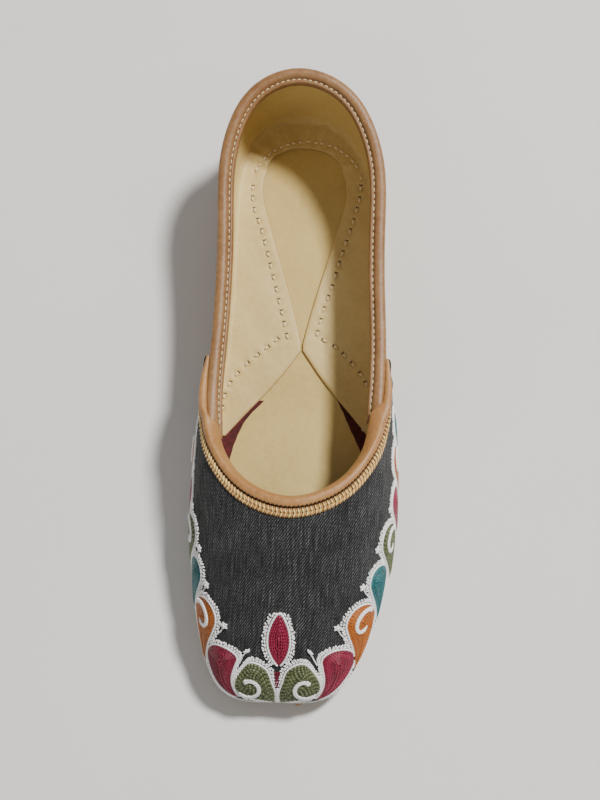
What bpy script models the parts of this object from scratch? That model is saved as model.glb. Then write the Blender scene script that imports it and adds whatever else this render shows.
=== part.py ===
"""Mojari, a South Asian slip-on shoe with an embroidered cloth-faced vamp: the left shoe, women's size.

The shoe stands on its sole. +Z is up, +Y points to the heel, -Y to the toe, +X to the outer (lateral) side.
Every length below is in millimetres and is turned into metres where a mesh is made.
Distances "from the toe" run along +Y from the front of the vamp.
"""

import math

import bmesh
import bpy
import numpy as np

# ------------------------------------------------------------------ driving sizes, mm
MM = 0.001
TOE_Y = -123.4          # the vamp's front, measured from the origin
CENTRE_X = 0.3          # shift that puts the box's middle on the origin
WALL = 2.3              # leather and lining of the upper
GAP = 0.3               # space left between pieces that touch
COVER = 1.5             # cloth and backing of the vamp's cover
SOLE_THICK = 4.2
TOE_SPRING = 4.6        # rise of the sole's toe
TREAD_FROM, TREAD_TO = 56.0, 112.0   # flat part of the forefoot
TIP_AT = 0.625          # where the sole's small point is, in sections from the toe's middle
HEEL_RISE = 6.3         # underside of the sole at the heel seat
HEEL_FROM = 196.0       # front of the heel lift
INSOLE_THICK = 2.0
FLAP_THICK = 1.3
BIND = 0.9              # binding leather
PIPING = 1.0            # throat binding leather

# The shoe's middle line: distance from the toe, how far it lies to the outer (+) or inner (-) side.
MIDDLE_LINE = ((-6.0, -4.9), (8.0, -3.9), (20.0, -2.8), (35.0, -1.8), (55.0, -0.7), (80.0, -0.3), (105.0, -0.2),
               (122.0, 0.2), (137.0, 0.6), (155.0, 0.6), (180.0, 0.45), (203.0, 0.2), (220.0, -0.35),
               (235.0, -0.95), (252.0, -1.8))

# One row for each section round one side of the last, from the toe's middle to the heel's.
# seat_s, seat_w : the feather line: distance from the toe, half width
# top_s, top_w, top_z : the top edge of the upper: distance from the toe, half width, height over the floor
# bulge : how far the wall stands out past the feather line
# dome  : 1 where the section arches over the forefoot, 0 where it is a standing wall
# slope : share of the arch's rise that goes on as far as the throat
SECTIONS = (
    # seat_s seat_w top_s top_w top_z bulge dome slope
    (2.2, 0.0, 71.6, 0.0, 47.5, 1.2, 1.00, 0.45),
    (2.4, 12.4, 72.3, 5.6, 47.4, 1.2, 1.00, 0.45),
    (6.4, 21.2, 73.9, 10.6, 47.1, 1.3, 1.00, 0.43),
    (15.8, 27.3, 76.6, 15.8, 46.7, 1.4, 1.00, 0.40),
    (30.5, 32.2, 81.0, 21.2, 46.0, 1.5, 1.00, 0.34),
    (49.0, 35.9, 87.5, 26.2, 45.1, 1.6, 0.95, 0.26),
    (70.0, 37.7, 96.2, 30.3, 43.9, 1.7, 0.80, 0.16),
    (93.0, 37.2, 107.6, 32.8, 42.2, 1.9, 0.50, 0.08),
    (116.0, 35.0, 121.5, 33.6, 41.0, 2.1, 0.20, 0.00),
    (139.0, 32.6, 140.0, 33.2, 41.2, 1.9, 0.00, 0.00),
    (162.0, 31.0, 161.5, 32.4, 43.0, 1.8, 0.00, 0.00),
    (185.0, 30.4, 183.5, 32.3, 46.0, 2.0, 0.00, 0.00),
    (207.0, 29.6, 205.0, 32.2, 50.0, 2.3, 0.00, 0.00),
    (226.0, 26.0, 223.0, 28.1, 54.3, 2.6, 0.00, 0.00),
    (239.7, 16.6, 237.9, 18.1, 57.6, 2.8, 0.00, 0.00),
    (245.4, 0.0, 244.7, 0.0, 59.0, 3.0, 0.00, 0.00),
)
HALF_ROWS = len(SECTIONS) - 1
LOOP_ROWS = 2 * HALF_ROWS

# Inner edge of the turned-in quarter leather on the footbed: distance from the toe, half width.
KEYHOLE = ((146.0, 0.35), (157.0, 3.1), (170.0, 6.7), (186.0, 11.4), (201.0, 15.6), (212.0, 17.6), (217.0, 17.2))
KEYHOLE_END = (221.0, 16.0, 10.8)    # its rounded end: middle, half width, reach
FLAP_FRONT = ((143.0, 0.35), (128.0, 11.3), (118.5, 19.6), (105.5, 30.5))


# ------------------------------------------------------------------ curves
def periodic_spline(rows):
    """A smooth closed curve through rows that are one unit of the parameter apart."""
    p = np.asarray(rows, float)
    n = len(p)
    m = np.zeros((n, n))
    for i in range(n):
        m[i, i] = 4.0
        m[i, (i + 1) % n] += 1.0
        m[i, (i - 1) % n] += 1.0
    second = np.linalg.solve(m, 6.0 * (np.roll(p, -1, 0) - 2.0 * p + np.roll(p, 1, 0)))

    def at(t):
        t = np.asarray(t, float) % n
        i = np.minimum(np.floor(t).astype(int), n - 1)
        j = (i + 1) % n
        b = (t - i)[..., None]
        a = 1.0 - b
        return (a * p[i] + b * p[j]
                + ((a ** 3 - a) * second[i] + (b ** 3 - b) * second[j]) / 6.0)

    return at


def smooth(a, b, x):
    t = np.clip((np.asarray(x, float) - a) / (b - a), 0.0, 1.0)
    return t * t * (3.0 - 2.0 * t)


def open_spline(table):
    """A smooth curve y(x) through the table's (x, y) rows."""
    x, y = np.array(table, float).T
    n, h = len(x), np.diff(np.array(table, float)[:, 0])
    m, rhs = np.eye(n), np.zeros(n)
    for i in range(1, n - 1):
        m[i, i - 1:i + 2] = h[i - 1], 2.0 * (h[i - 1] + h[i]), h[i]
        rhs[i] = 6.0 * ((y[i + 1] - y[i]) / h[i] - (y[i] - y[i - 1]) / h[i - 1])
    second = np.linalg.solve(m, rhs)

    def at(v):
        v = np.clip(np.asarray(v, float), x[0], x[-1])
        i = np.clip(np.searchsorted(x, v) - 1, 0, n - 2)
        a, b = (x[i + 1] - v) / h[i], (v - x[i]) / h[i]
        return a * y[i] + b * y[i + 1] + ((a ** 3 - a) * second[i] + (b ** 3 - b) * second[i + 1]) * h[i] ** 2 / 6.0

    return at


swing = open_spline(MIDDLE_LINE)


def sole_under(s):
    """Height of the sole's underside: toe spring, flat tread, arch, heel seat."""
    s = np.asarray(s, float)
    toe = TOE_SPRING * np.clip((TREAD_FROM - s) / TREAD_FROM, 0.0, 1.1) ** 2
    return toe + HEEL_RISE * smooth(TREAD_TO, 190.0, s)


def sole_top(s):
    return sole_under(s) + SOLE_THICK


def loop_table():
    """Both sides of the last as one closed table: seat xy, top xyz, bulge, dome, slope."""
    rows = []
    for i in range(LOOP_ROWS):
        k = i if i <= HALF_ROWS else LOOP_ROWS - i
        side = 1.0 if i <= HALF_ROWS else -1.0
        ss, sw, ts, tw, tz, bulge, dome, slope = SECTIONS[k]
        rows.append((ss, side * sw, ts, side * tw, tz, bulge, dome, slope))
    return rows


LOOP = periodic_spline(loop_table())


def upper_point(u, v, off=0.0):
    """A point on the upper's outer face, mm. u runs 0..LOOP_ROWS round the shoe from the toe by the outer side,
    v from the feather line (0) to the top edge (1). off is measured along the outward normal."""
    u, v = np.broadcast_arrays(np.asarray(u, float), np.asarray(v, float))
    if np.any(off):
        e = 0.02
        du = upper_point(u + e, v) - upper_point(u - e, v)
        dv = upper_point(u, v + e) - upper_point(u, v - e)
        nrm = np.cross(du, dv)
        nrm /= np.maximum(np.linalg.norm(nrm, axis=-1, keepdims=True), 1e-9)
        return upper_point(u, v) + nrm * np.asarray(off, float)[..., None]
    row = LOOP(u)
    ss, sx, ts, tx, tz, bulge, dome, slope = np.moveaxis(row, -1, 0)
    dome, slope = np.clip(dome, 0, 1), np.clip(slope, 0, 1)
    seat = np.stack([sx, ss], -1)
    top = np.stack([tx, ts], -1)
    # the outward direction in plan, square to the feather line
    e = 0.05
    a, b = LOOP(u + e), LOOP(u - e)
    tan = np.stack([a[..., 1] - b[..., 1], a[..., 0] - b[..., 0]], -1)
    tan /= np.maximum(np.linalg.norm(tan, axis=-1, keepdims=True), 1e-9)
    out = np.stack([tan[..., 1], -tan[..., 0]], -1)
    w = np.clip(v, -0.2, 1.2)
    phi = w * math.pi / 2
    arch_r = 1.0 - np.cos(phi)
    arch_z = (1.0 - slope) * np.sin(phi) + slope * arch_r
    run = dome * arch_r + (1.0 - dome) * w
    rise = dome * arch_z + (1.0 - dome) * w
    belly = 6.75 * w * (1.0 - w) ** 2 * bulge
    plan = seat + (top - seat) * run[..., None] + out * belly[..., None]
    z0 = sole_top(ss) + GAP
    z = z0 + (tz - z0) * rise
    s = plan[..., 1]
    return np.stack([plan[..., 0] + swing(s) + CENTRE_X, s + TOE_Y, z], -1)


def seat_point(u, off):
    """The feather line in plan, moved outward by off: x and distance from the toe, without the swing."""
    a, b, row = LOOP(u + 0.05), LOOP(u - 0.05), LOOP(u)
    tan = np.stack([a[..., 1] - b[..., 1], a[..., 0] - b[..., 0]], -1)
    tan /= np.linalg.norm(tan, axis=-1, keepdims=True)
    out = np.stack([tan[..., 1], -tan[..., 0]], -1)
    return np.stack([row[..., 1], row[..., 0]], -1) + out * np.asarray(off, float)[..., None]


def place(x, s, z):
    """Shoe sizes to a point in the part's frame, still in mm."""
    x, s, z = np.broadcast_arrays(np.asarray(x, float), np.asarray(s, float), np.asarray(z, float))
    return np.stack([x + swing(s) + CENTRE_X, s + TOE_Y, z], -1)


def u_where_top_is(s_from_toe):
    """The loop parameter on the outer side where the top edge is that far from the toe."""
    lo, hi = 0.0, float(HALF_ROWS)
    for _ in range(40):
        mid = (lo + hi) / 2
        if LOOP(mid)[2] < s_from_toe:
            lo = mid
        else:
            hi = mid
    return (lo + hi) / 2


# ------------------------------------------------------------------ Blender helpers
def clear_scene():
    for o in list(bpy.data.objects):
        bpy.data.objects.remove(o, do_unlink=True)


def collection(name):
    c = bpy.data.collections.new(name)
    bpy.context.scene.collection.children.link(c)
    return c


def material(name, colour, roughness, metallic=0.0):
    m = bpy.data.materials.new(name)
    m.use_nodes = True
    b = m.node_tree.nodes["Principled BSDF"]
    b.inputs["Base Color"].default_value = (*colour, 1.0)
    b.inputs["Roughness"].default_value = roughness
    b.inputs["Metallic"].default_value = metallic
    return m


def finish_object(bm, name, mat, where):
    bmesh.ops.recalc_face_normals(bm, faces=bm.faces)
    me = bpy.data.meshes.new(name)
    bm.to_mesh(me)
    bm.free()
    me.materials.append(mat)
    me.shade_smooth()
    me.set_sharp_from_angle(angle=math.radians(40))
    o = bpy.data.objects.new(name, me)
    where.objects.link(o)
    return o


def skin(rings, close_round, close_ends=False):
    """A bmesh surface through rings of equal length (mm). close_round joins each ring's last point to its first,
    close_ends joins the last ring to the first."""
    bm = bmesh.new()
    made = [[bm.verts.new(tuple(float(c) * MM for c in p)) for p in ring] for ring in rings]
    n, m = len(made), len(made[0])
    for i in range(n if close_ends else n - 1):
        a, b = made[i], made[(i + 1) % n]
        for j in range(m if close_round else m - 1):
            k = (j + 1) % m
            bm.faces.new((a[j], a[k], b[k], b[j]))
    return bm, made


def shell(name, us, vs, outer, inner, mat, where, around=False):
    """A solid sheet between two offsets of the upper's form; outer and inner give the offset at (u, v).
    around joins the last column to the first."""
    bm = bmesh.new()

    def face(off):
        return [[bm.verts.new(tuple(upper_point(u, v, off(u, v)) * MM)) for v in vs] for u in us]

    far, near = face(outer), face(inner)
    n, m = len(us), len(vs)
    for i in range(n if around else n - 1):
        k = (i + 1) % n
        for j in range(m - 1):
            bm.faces.new((far[i][j], far[k][j], far[k][j + 1], far[i][j + 1]))
            bm.faces.new((near[i][j], near[i][j + 1], near[k][j + 1], near[k][j]))
        for j in (0, m - 1):
            bm.faces.new((far[i][j], near[i][j], near[k][j], far[k][j]))
    if not around:
        for i in (0, n - 1):
            for j in range(m - 1):
                bm.faces.new((far[i][j], far[i][j + 1], near[i][j + 1], near[i][j]))
    return finish_object(bm, name, mat, where)


def loft(name, rings, mat, where):
    """A closed solid through closed rings, with a flat cap at each end."""
    bm, made = skin(rings, True)
    bm.faces.new(made[0])
    bm.faces.new(list(reversed(made[-1])))
    bmesh.ops.triangulate(bm, faces=[f for f in bm.faces if len(f.verts) > 4])
    return finish_object(bm, name, mat, where)


def plate(name, ribs, low, high, mat, where, bevel=0.0):
    """A plate that follows the sole's curve. Each rib is a row of (x, s) from its outer to its inner end;
    low and high give the faces' heights at a distance s from the toe."""
    bm = bmesh.new()
    under = [[bm.verts.new(tuple(place(x, s, low(s)) * MM)) for x, s in rib] for rib in ribs]
    over = [[bm.verts.new(tuple(place(x, s, high(s)) * MM)) for x, s in rib] for rib in ribs]
    n, m = len(ribs), len(ribs[0])
    for i in range(n - 1):
        for j in range(m - 1):
            bm.faces.new((over[i][j], over[i][j + 1], over[i + 1][j + 1], over[i + 1][j]))
            bm.faces.new((under[i][j], under[i + 1][j], under[i + 1][j + 1], under[i][j + 1]))
    rim = ([(i, 0) for i in range(n)] + [(n - 1, j) for j in range(1, m)]
           + [(i, m - 1) for i in range(n - 2, -1, -1)] + [(0, j) for j in range(m - 2, 0, -1)])
    for a, b in zip(rim, rim[1:] + rim[:1]):
        bm.faces.new((under[a[0]][a[1]], under[b[0]][b[1]], over[b[0]][b[1]], over[a[0]][a[1]]))
    bmesh.ops.remove_doubles(bm, verts=bm.verts, dist=1e-6)
    o = finish_object(bm, name, mat, where)
    if bevel:
        mod = o.modifiers.new("soft_edge", "BEVEL")
        mod.width, mod.segments, mod.limit_method = bevel * MM, 1, "ANGLE"
        mod.angle_limit = math.radians(50)
    return o


def cross_ribs(us, off, across=4):
    """Ribs from the outer side to the inner side of the shoe, at matching sections."""
    ribs = []
    for u in us:
        outer, inner = seat_point(u, off(u)), seat_point(-u, off(-u))
        ribs.append([tuple(outer + (inner - outer) * k) for k in np.linspace(0.0, 1.0, across + 1)])
    return ribs


# ------------------------------------------------------------------ the pieces
def build():
    clear_scene()
    shoe = collection("mojari_left")
    sole_leather = material("sole_leather", (0.46, 0.31, 0.17), 0.55)
    lining = material("lining_leather", (0.62, 0.49, 0.31), 0.50)
    cloth = material("charcoal_cloth", (0.045, 0.046, 0.048), 0.85)
    tan = material("tan_leather", (0.48, 0.26, 0.12), 0.42)
    thread = material("braid_thread", (0.50, 0.34, 0.16), 0.55)

    # outsole: full length, toe spring and arch, with the small point that the type has at its toe
    wing = u_where_top_is(130.5)

    def sole_off(u):
        s = LOOP(u)[0]
        return (0.9 + 1.3 * (1.0 - float(smooth(118.0, 146.0, s)))
                + 1.3 * math.exp(-((u - TIP_AT) / 0.11) ** 2) - 0.5 * math.exp(-((u + 0.35) / 0.3) ** 2))

    us = np.concatenate([np.linspace(0.0, 1.0, 9)[:-1], np.linspace(1.0, HALF_ROWS, (HALF_ROWS - 1) * 2 + 1)])
    plate("outsole", cross_ribs(us, sole_off), sole_under, sole_top, sole_leather, shoe, 0.7)

    # heel lift: stacked leather under the seat, with a curved front
    heel_us = [u for u in np.linspace(HALF_ROWS - 5, HALF_ROWS, 16) if LOOP(u)[0] > HEEL_FROM + 3.0]
    ribs = []
    front = seat_point(heel_us[0], 0.2)
    across = 8
    t = np.linspace(1.0, -1.0, across + 1)
    ribs.append([(front[0] * k, HEEL_FROM + 4.0 * (1.0 - k * k)) for k in t])
    for u in heel_us:
        x, s = seat_point(u, 0.2)
        ribs.append([(x * k, max(s, HEEL_FROM + 4.0 * (1.0 - k * k) + 2.0)) for k in t])
    plate("heel_lift", ribs, lambda s: 0.0, lambda s: HEEL_RISE - GAP, sole_leather, shoe, 0.5)

    # footbed: lies on the outsole inside the upper
    us = np.linspace(0.0, HALF_ROWS, HALF_ROWS * 2 + 1)
    plate("insole", cross_ribs(us, lambda u: -(WALL + 0.75)),
          lambda s: sole_top(s) + GAP, lambda s: sole_top(s) + GAP + INSOLE_THICK, lining, shoe)

    # upper: one hollow shell from toe to heel, open at the collar and throat and underneath
    columns, rows = 84, 10
    levels = np.linspace(0.0, 1.0, rows + 1)
    shell("upper", [LOOP_ROWS * i / columns for i in range(columns)], levels, lambda u, v: 0.0,
          lambda u, v: -WALL * (0.75 + 0.25 * float(smooth(0.0, 0.06, v))), lining, shoe, True)

    # vamp cover: the cloth front, standing proud of the quarter at its two wings
    cols = 44

    def lift(u, v):
        """Clearance between the cover and the upper: more at the wings' tops, where the collar binding ends."""
        away = abs(((u + HALF_ROWS) % LOOP_ROWS) - HALF_ROWS)
        return GAP + (BIND + 0.45) * smooth(6.7, 7.3, away) * smooth(0.72, 0.93, v)

    shell("vamp_cover", np.linspace(-wing, wing, 47), np.concatenate([[0.02], levels[1:-1], [0.995]]),
          lambda u, v: float(lift(u, v)) + COVER, lambda u, v: float(lift(u, v)), cloth, shoe)

    # bindings: a folded strip over an edge, with a flange down each side
    def fold(u, depth_out, depth_in, base_out, base_in, thick, head):
        """The strip's ring at u, out of section: outer flange, rounded head, inner flange, and back under them.
        base_out and base_in are the offsets of the faces that the flanges lie on."""
        speed = np.linalg.norm(upper_point(u, 1.0) - upper_point(u, 0.98)) / 0.02
        crest = upper_point(u, 1.0)
        up = upper_point(u, 1.0) - upper_point(u, 0.98)
        up /= np.linalg.norm(up)
        nrm = upper_point(u, 1.0, 1.0) - crest
        o_out, o_in = base_out + GAP, base_in - GAP

        def on(off, depth):
            return upper_point(u, 1.0 - depth / speed, off)

        half, mid = (o_out - o_in) / 2 + thick, (o_out + o_in) / 2
        head_arc = [crest + nrm * (mid + half * math.cos(a)) + up * (GAP + 0.1 + head * math.sin(a))
                    for a in np.linspace(0.15, math.pi - 0.15, 5)]
        ring = [on(o_out + thick, depth_out), on(o_out + thick, depth_out * 0.45)] + head_arc
        ring += [on(o_in - thick, (depth_in - GAP) / 2), on(o_in - thick, depth_in), on(o_in, depth_in),
                 on(o_in, (depth_in - GAP) / 2), crest + nrm * o_in + up * GAP, crest + nrm * o_out + up * GAP,
                 on(o_out, depth_out * 0.45), on(o_out, depth_out)]
        return ring

    # collar binding: over the quarter's edge; its ends run on a little under the vamp's wings
    collar_from = u_where_top_is(113.5)
    rings = []
    for u in np.linspace(collar_from, LOOP_ROWS - collar_from, 49):
        end = min(u - collar_from, LOOP_ROWS - collar_from - u)
        grow = 0.55 + 0.45 * float(smooth(0.0, 0.8, end))
        rings.append(fold(u, 3.6 * grow, 5.6 * grow, 0.0, -WALL, BIND, BIND + 0.7))
    loft("collar_binding", rings, tan, shoe)

    # throat binding: over the edge of the vamp and its cover, then along the wings' tops, over the cover alone
    rings = []
    for u in np.linspace(-wing, wing, 51):
        short, lone = float(smooth(4.7, 5.5, abs(u))), float(smooth(5.8, 6.4, abs(u)))
        tail = 1.0 - 0.5 * float(smooth(6.6, wing, abs(u)))
        low, high = float(lift(u, 1.0)), float(lift(u, 1.0)) + COVER
        inner = -(WALL + 0.12) * (1.0 - lone) + (low + 0.75) * lone
        rings.append(fold(u, 4.4 * tail, 2.8 * (1.0 - short) - 0.5 * short, high, inner,
                          PIPING * tail, (PIPING + 0.9) * tail))
    loft("throat_binding", rings, tan, shoe)

    # braid: the whipped cord that lies on the cloth beside the throat binding
    braid_to = u_where_top_is(119.0)
    us = np.linspace(-braid_to, braid_to, 39)
    rings = []
    for u in us:
        speed = np.linalg.norm(upper_point(u, 1.0) - upper_point(u, 0.98)) / 0.02
        small = 1.0 - 0.55 * float(smooth(braid_to - 1.4, braid_to, abs(u)))
        ring = []
        for depth, off in ((-1.5, 0.0), (-1.4, 0.7), (-0.7, 1.25), (0.7, 1.25), (1.4, 0.7), (1.5, 0.0)):
            v = 1.0 - (6.3 + depth * small) / speed
            ring.append(upper_point(u, v, float(lift(u, v)) + COVER + GAP + off * small))
        rings.append(ring)
    loft("throat_braid", rings, thread, shoe)

    # turned-in quarter leather on the footbed: a band round the heel whose two wings meet at the waist
    hole, front = open_spline(KEYHOLE), open_spline(sorted(FLAP_FRONT))
    wall_off = -(WALL + 0.65)

    def u_at_wall(s):
        lo, hi = 4.0, float(HALF_ROWS)
        for _ in range(40):
            mid = (lo + hi) / 2
            if seat_point(mid, wall_off)[1] < s:
                lo = mid
            else:
                hi = mid
        return (lo + hi) / 2

    share = (0.0, 0.33, 0.67, 1.0)
    side = []
    for s in list(np.linspace(106.5, 143.0, 7)) + [144.5, 146.0] + list(np.linspace(151.5, 217.0, 11)):
        wall = float(seat_point(u_at_wall(s), wall_off)[0])
        edge = float(hole(s)) if s > 145.9 else max(0.35, float(front(s)))
        side.append([(wall + (edge - wall) * q, s) for q in share])
    turn_from = u_at_wall(221.5)
    mid_s, half_w, reach = KEYHOLE_END
    turn = []
    for t in np.linspace(0.0, 1.0, 11):
        wall = seat_point(turn_from + 2.0 * (HALF_ROWS - turn_from) * t, wall_off)
        edge = np.array([half_w * math.cos(math.pi * t), mid_s + reach * math.sin(math.pi * t)])
        turn.append([tuple(wall + (edge - wall) * q) for q in share])
    ribs = side + turn + [[(-x, s) for x, s in rib] for rib in reversed(side)]
    plate("quarter_flaps", ribs, lambda s: sole_top(s) + 2 * GAP + INSOLE_THICK,
          lambda s: sole_top(s) + 2 * GAP + INSOLE_THICK + FLAP_THICK, lining, shoe)


build()
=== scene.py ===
import math

import bpy
import numpy as np
from mathutils import Matrix


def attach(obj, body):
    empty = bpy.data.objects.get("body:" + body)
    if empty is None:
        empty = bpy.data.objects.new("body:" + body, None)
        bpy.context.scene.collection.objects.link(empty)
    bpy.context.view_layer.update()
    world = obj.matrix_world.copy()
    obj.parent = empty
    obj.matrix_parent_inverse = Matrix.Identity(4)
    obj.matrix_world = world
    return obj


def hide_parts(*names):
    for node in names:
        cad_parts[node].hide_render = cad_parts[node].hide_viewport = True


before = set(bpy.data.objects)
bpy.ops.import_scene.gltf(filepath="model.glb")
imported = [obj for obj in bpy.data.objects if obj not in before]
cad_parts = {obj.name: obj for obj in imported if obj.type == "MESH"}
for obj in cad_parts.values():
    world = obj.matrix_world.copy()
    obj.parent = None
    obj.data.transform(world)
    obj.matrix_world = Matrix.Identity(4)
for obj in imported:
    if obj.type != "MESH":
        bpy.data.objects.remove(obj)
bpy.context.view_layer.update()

# ------------------------------------------------------------------ the shoe's own sizes, mm, as in the CAD source
MM = 0.001
TOE_Y, CENTRE_X = -123.4, 0.3
WALL, GAP, COVER = 2.3, 0.3, 1.5
SOLE_THICK, TOE_SPRING = 4.2, 4.6
TREAD_FROM, TREAD_TO = 56.0, 112.0
TIP_AT = 0.625
HEEL_RISE, HEEL_FROM = 6.3, 196.0
INSOLE_THICK, FLAP_THICK = 2.0, 1.3
BIND, PIPING = 0.9, 1.0
MIDDLE_LINE = ((-6.0, -4.9), (8.0, -3.9), (20.0, -2.8), (35.0, -1.8), (55.0, -0.7), (80.0, -0.3), (105.0, -0.2),
               (122.0, 0.2), (137.0, 0.6), (155.0, 0.6), (180.0, 0.45), (203.0, 0.2), (220.0, -0.35),
               (235.0, -0.95), (252.0, -1.8))
# seat_s seat_w top_s top_w top_z bulge dome slope
SECTIONS = (
    (2.2, 0.0, 71.6, 0.0, 47.5, 1.2, 1.00, 0.45),
    (2.4, 12.4, 72.3, 5.6, 47.4, 1.2, 1.00, 0.45),
    (6.4, 21.2, 73.9, 10.6, 47.1, 1.3, 1.00, 0.43),
    (15.8, 27.3, 76.6, 15.8, 46.7, 1.4, 1.00, 0.40),
    (30.5, 32.2, 81.0, 21.2, 46.0, 1.5, 1.00, 0.34),
    (49.0, 35.9, 87.5, 26.2, 45.1, 1.6, 0.95, 0.26),
    (70.0, 37.7, 96.2, 30.3, 43.9, 1.7, 0.80, 0.16),
    (93.0, 37.2, 107.6, 32.8, 42.2, 1.9, 0.50, 0.08),
    (116.0, 35.0, 121.5, 33.6, 41.0, 2.1, 0.20, 0.00),
    (139.0, 32.6, 140.0, 33.2, 41.2, 1.9, 0.00, 0.00),
    (162.0, 31.0, 161.5, 32.4, 43.0, 1.8, 0.00, 0.00),
    (185.0, 30.4, 183.5, 32.3, 46.0, 2.0, 0.00, 0.00),
    (207.0, 29.6, 205.0, 32.2, 50.0, 2.3, 0.00, 0.00),
    (226.0, 26.0, 223.0, 28.1, 54.3, 2.6, 0.00, 0.00),
    (239.7, 16.6, 237.9, 18.1, 57.6, 2.8, 0.00, 0.00),
    (245.4, 0.0, 244.7, 0.0, 59.0, 3.0, 0.00, 0.00),
)
HALF_ROWS = len(SECTIONS) - 1
LOOP_ROWS = 2 * HALF_ROWS
KEYHOLE = ((146.0, 0.35), (157.0, 3.1), (170.0, 6.7), (186.0, 11.4), (201.0, 15.6), (212.0, 17.6), (217.0, 17.2))
KEYHOLE_END = (221.0, 16.0, 10.8)
FLAP_FRONT = ((143.0, 0.35), (128.0, 11.3), (118.5, 19.6), (105.5, 30.5))


# ------------------------------------------------------------------ curves and the upper's surface
def periodic_spline(rows):
    p = np.asarray(rows, float)
    n = len(p)
    m = np.zeros((n, n))
    for i in range(n):
        m[i, i] = 4.0
        m[i, (i + 1) % n] += 1.0
        m[i, (i - 1) % n] += 1.0
    second = np.linalg.solve(m, 6.0 * (np.roll(p, -1, 0) - 2.0 * p + np.roll(p, 1, 0)))

    def at(t):
        t = np.asarray(t, float) % n
        i = np.minimum(np.floor(t).astype(int), n - 1)
        j = (i + 1) % n
        b = (t - i)[..., None]
        a = 1.0 - b
        return a * p[i] + b * p[j] + ((a ** 3 - a) * second[i] + (b ** 3 - b) * second[j]) / 6.0

    return at


def smooth(a, b, x):
    t = np.clip((np.asarray(x, float) - a) / (b - a), 0.0, 1.0)
    return t * t * (3.0 - 2.0 * t)


def open_spline(table):
    x, y = np.array(table, float).T
    n, h = len(x), np.diff(x)
    m, rhs = np.eye(n), np.zeros(n)
    for i in range(1, n - 1):
        m[i, i - 1:i + 2] = h[i - 1], 2.0 * (h[i - 1] + h[i]), h[i]
        rhs[i] = 6.0 * ((y[i + 1] - y[i]) / h[i] - (y[i] - y[i - 1]) / h[i - 1])
    second = np.linalg.solve(m, rhs)

    def at(v):
        v = np.clip(np.asarray(v, float), x[0], x[-1])
        i = np.clip(np.searchsorted(x, v) - 1, 0, n - 2)
        a, b = (x[i + 1] - v) / h[i], (v - x[i]) / h[i]
        return a * y[i] + b * y[i + 1] + ((a ** 3 - a) * second[i] + (b ** 3 - b) * second[i + 1]) * h[i] ** 2 / 6.0

    return at


swing = open_spline(MIDDLE_LINE)


def sole_under(s):
    s = np.asarray(s, float)
    toe = TOE_SPRING * np.clip((TREAD_FROM - s) / TREAD_FROM, 0.0, 1.1) ** 2
    return toe + HEEL_RISE * smooth(TREAD_TO, 190.0, s)


def sole_top(s):
    return sole_under(s) + SOLE_THICK


def loop_table():
    rows = []
    for i in range(LOOP_ROWS):
        k = i if i <= HALF_ROWS else LOOP_ROWS - i
        side = 1.0 if i <= HALF_ROWS else -1.0
        ss, sw, ts, tw, tz, bulge, dome, slope = SECTIONS[k]
        rows.append((ss, side * sw, ts, side * tw, tz, bulge, dome, slope))
    return rows


LOOP = periodic_spline(loop_table())


def upper_point(u, v, off=0.0):
    """A point on the upper's outer face, mm: u round the shoe from the toe by the outer side, v from the feather line
    (0) to the top edge (1), off along the outward normal."""
    u, v = np.broadcast_arrays(np.asarray(u, float), np.asarray(v, float))
    if np.any(off):
        e = 0.02
        du = upper_point(u + e, v) - upper_point(u - e, v)
        dv = upper_point(u, v + e) - upper_point(u, v - e)
        nrm = np.cross(du, dv)
        nrm /= np.maximum(np.linalg.norm(nrm, axis=-1, keepdims=True), 1e-9)
        return upper_point(u, v) + nrm * np.asarray(off, float)[..., None]
    row = LOOP(u)
    ss, sx, ts, tx, tz, bulge, dome, slope = np.moveaxis(row, -1, 0)
    dome, slope = np.clip(dome, 0, 1), np.clip(slope, 0, 1)
    seat = np.stack([sx, ss], -1)
    top = np.stack([tx, ts], -1)
    e = 0.05
    a, b = LOOP(u + e), LOOP(u - e)
    tan = np.stack([a[..., 1] - b[..., 1], a[..., 0] - b[..., 0]], -1)
    tan /= np.maximum(np.linalg.norm(tan, axis=-1, keepdims=True), 1e-9)
    out = np.stack([tan[..., 1], -tan[..., 0]], -1)
    w = np.clip(v, -0.2, 1.2)
    phi = w * math.pi / 2
    arch_r = 1.0 - np.cos(phi)
    arch_z = (1.0 - slope) * np.sin(phi) + slope * arch_r
    run = dome * arch_r + (1.0 - dome) * w
    rise = dome * arch_z + (1.0 - dome) * w
    belly = 6.75 * w * (1.0 - w) ** 2 * bulge
    plan = seat + (top - seat) * run[..., None] + out * belly[..., None]
    z0 = sole_top(ss) + GAP
    z = z0 + (tz - z0) * rise
    s = plan[..., 1]
    return np.stack([plan[..., 0] + swing(s) + CENTRE_X, s + TOE_Y, z], -1)


def seat_point(u, off):
    a, b, row = LOOP(u + 0.05), LOOP(u - 0.05), LOOP(u)
    tan = np.stack([a[..., 1] - b[..., 1], a[..., 0] - b[..., 0]], -1)
    tan /= np.linalg.norm(tan, axis=-1, keepdims=True)
    out = np.stack([tan[..., 1], -tan[..., 0]], -1)
    return np.stack([row[..., 1], row[..., 0]], -1) + out * np.asarray(off, float)[..., None]


def place(x, s, z):
    x, s, z = np.broadcast_arrays(np.asarray(x, float), np.asarray(s, float), np.asarray(z, float))
    return np.stack([x + swing(s) + CENTRE_X, s + TOE_Y, z], -1)


def u_where_top_is(s_from_toe):
    lo, hi = 0.0, float(HALF_ROWS)
    for _ in range(40):
        mid = (lo + hi) / 2
        if LOOP(mid)[2] < s_from_toe:
            lo = mid
        else:
            hi = mid
    return (lo + hi) / 2


WING = u_where_top_is(130.5)


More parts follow.
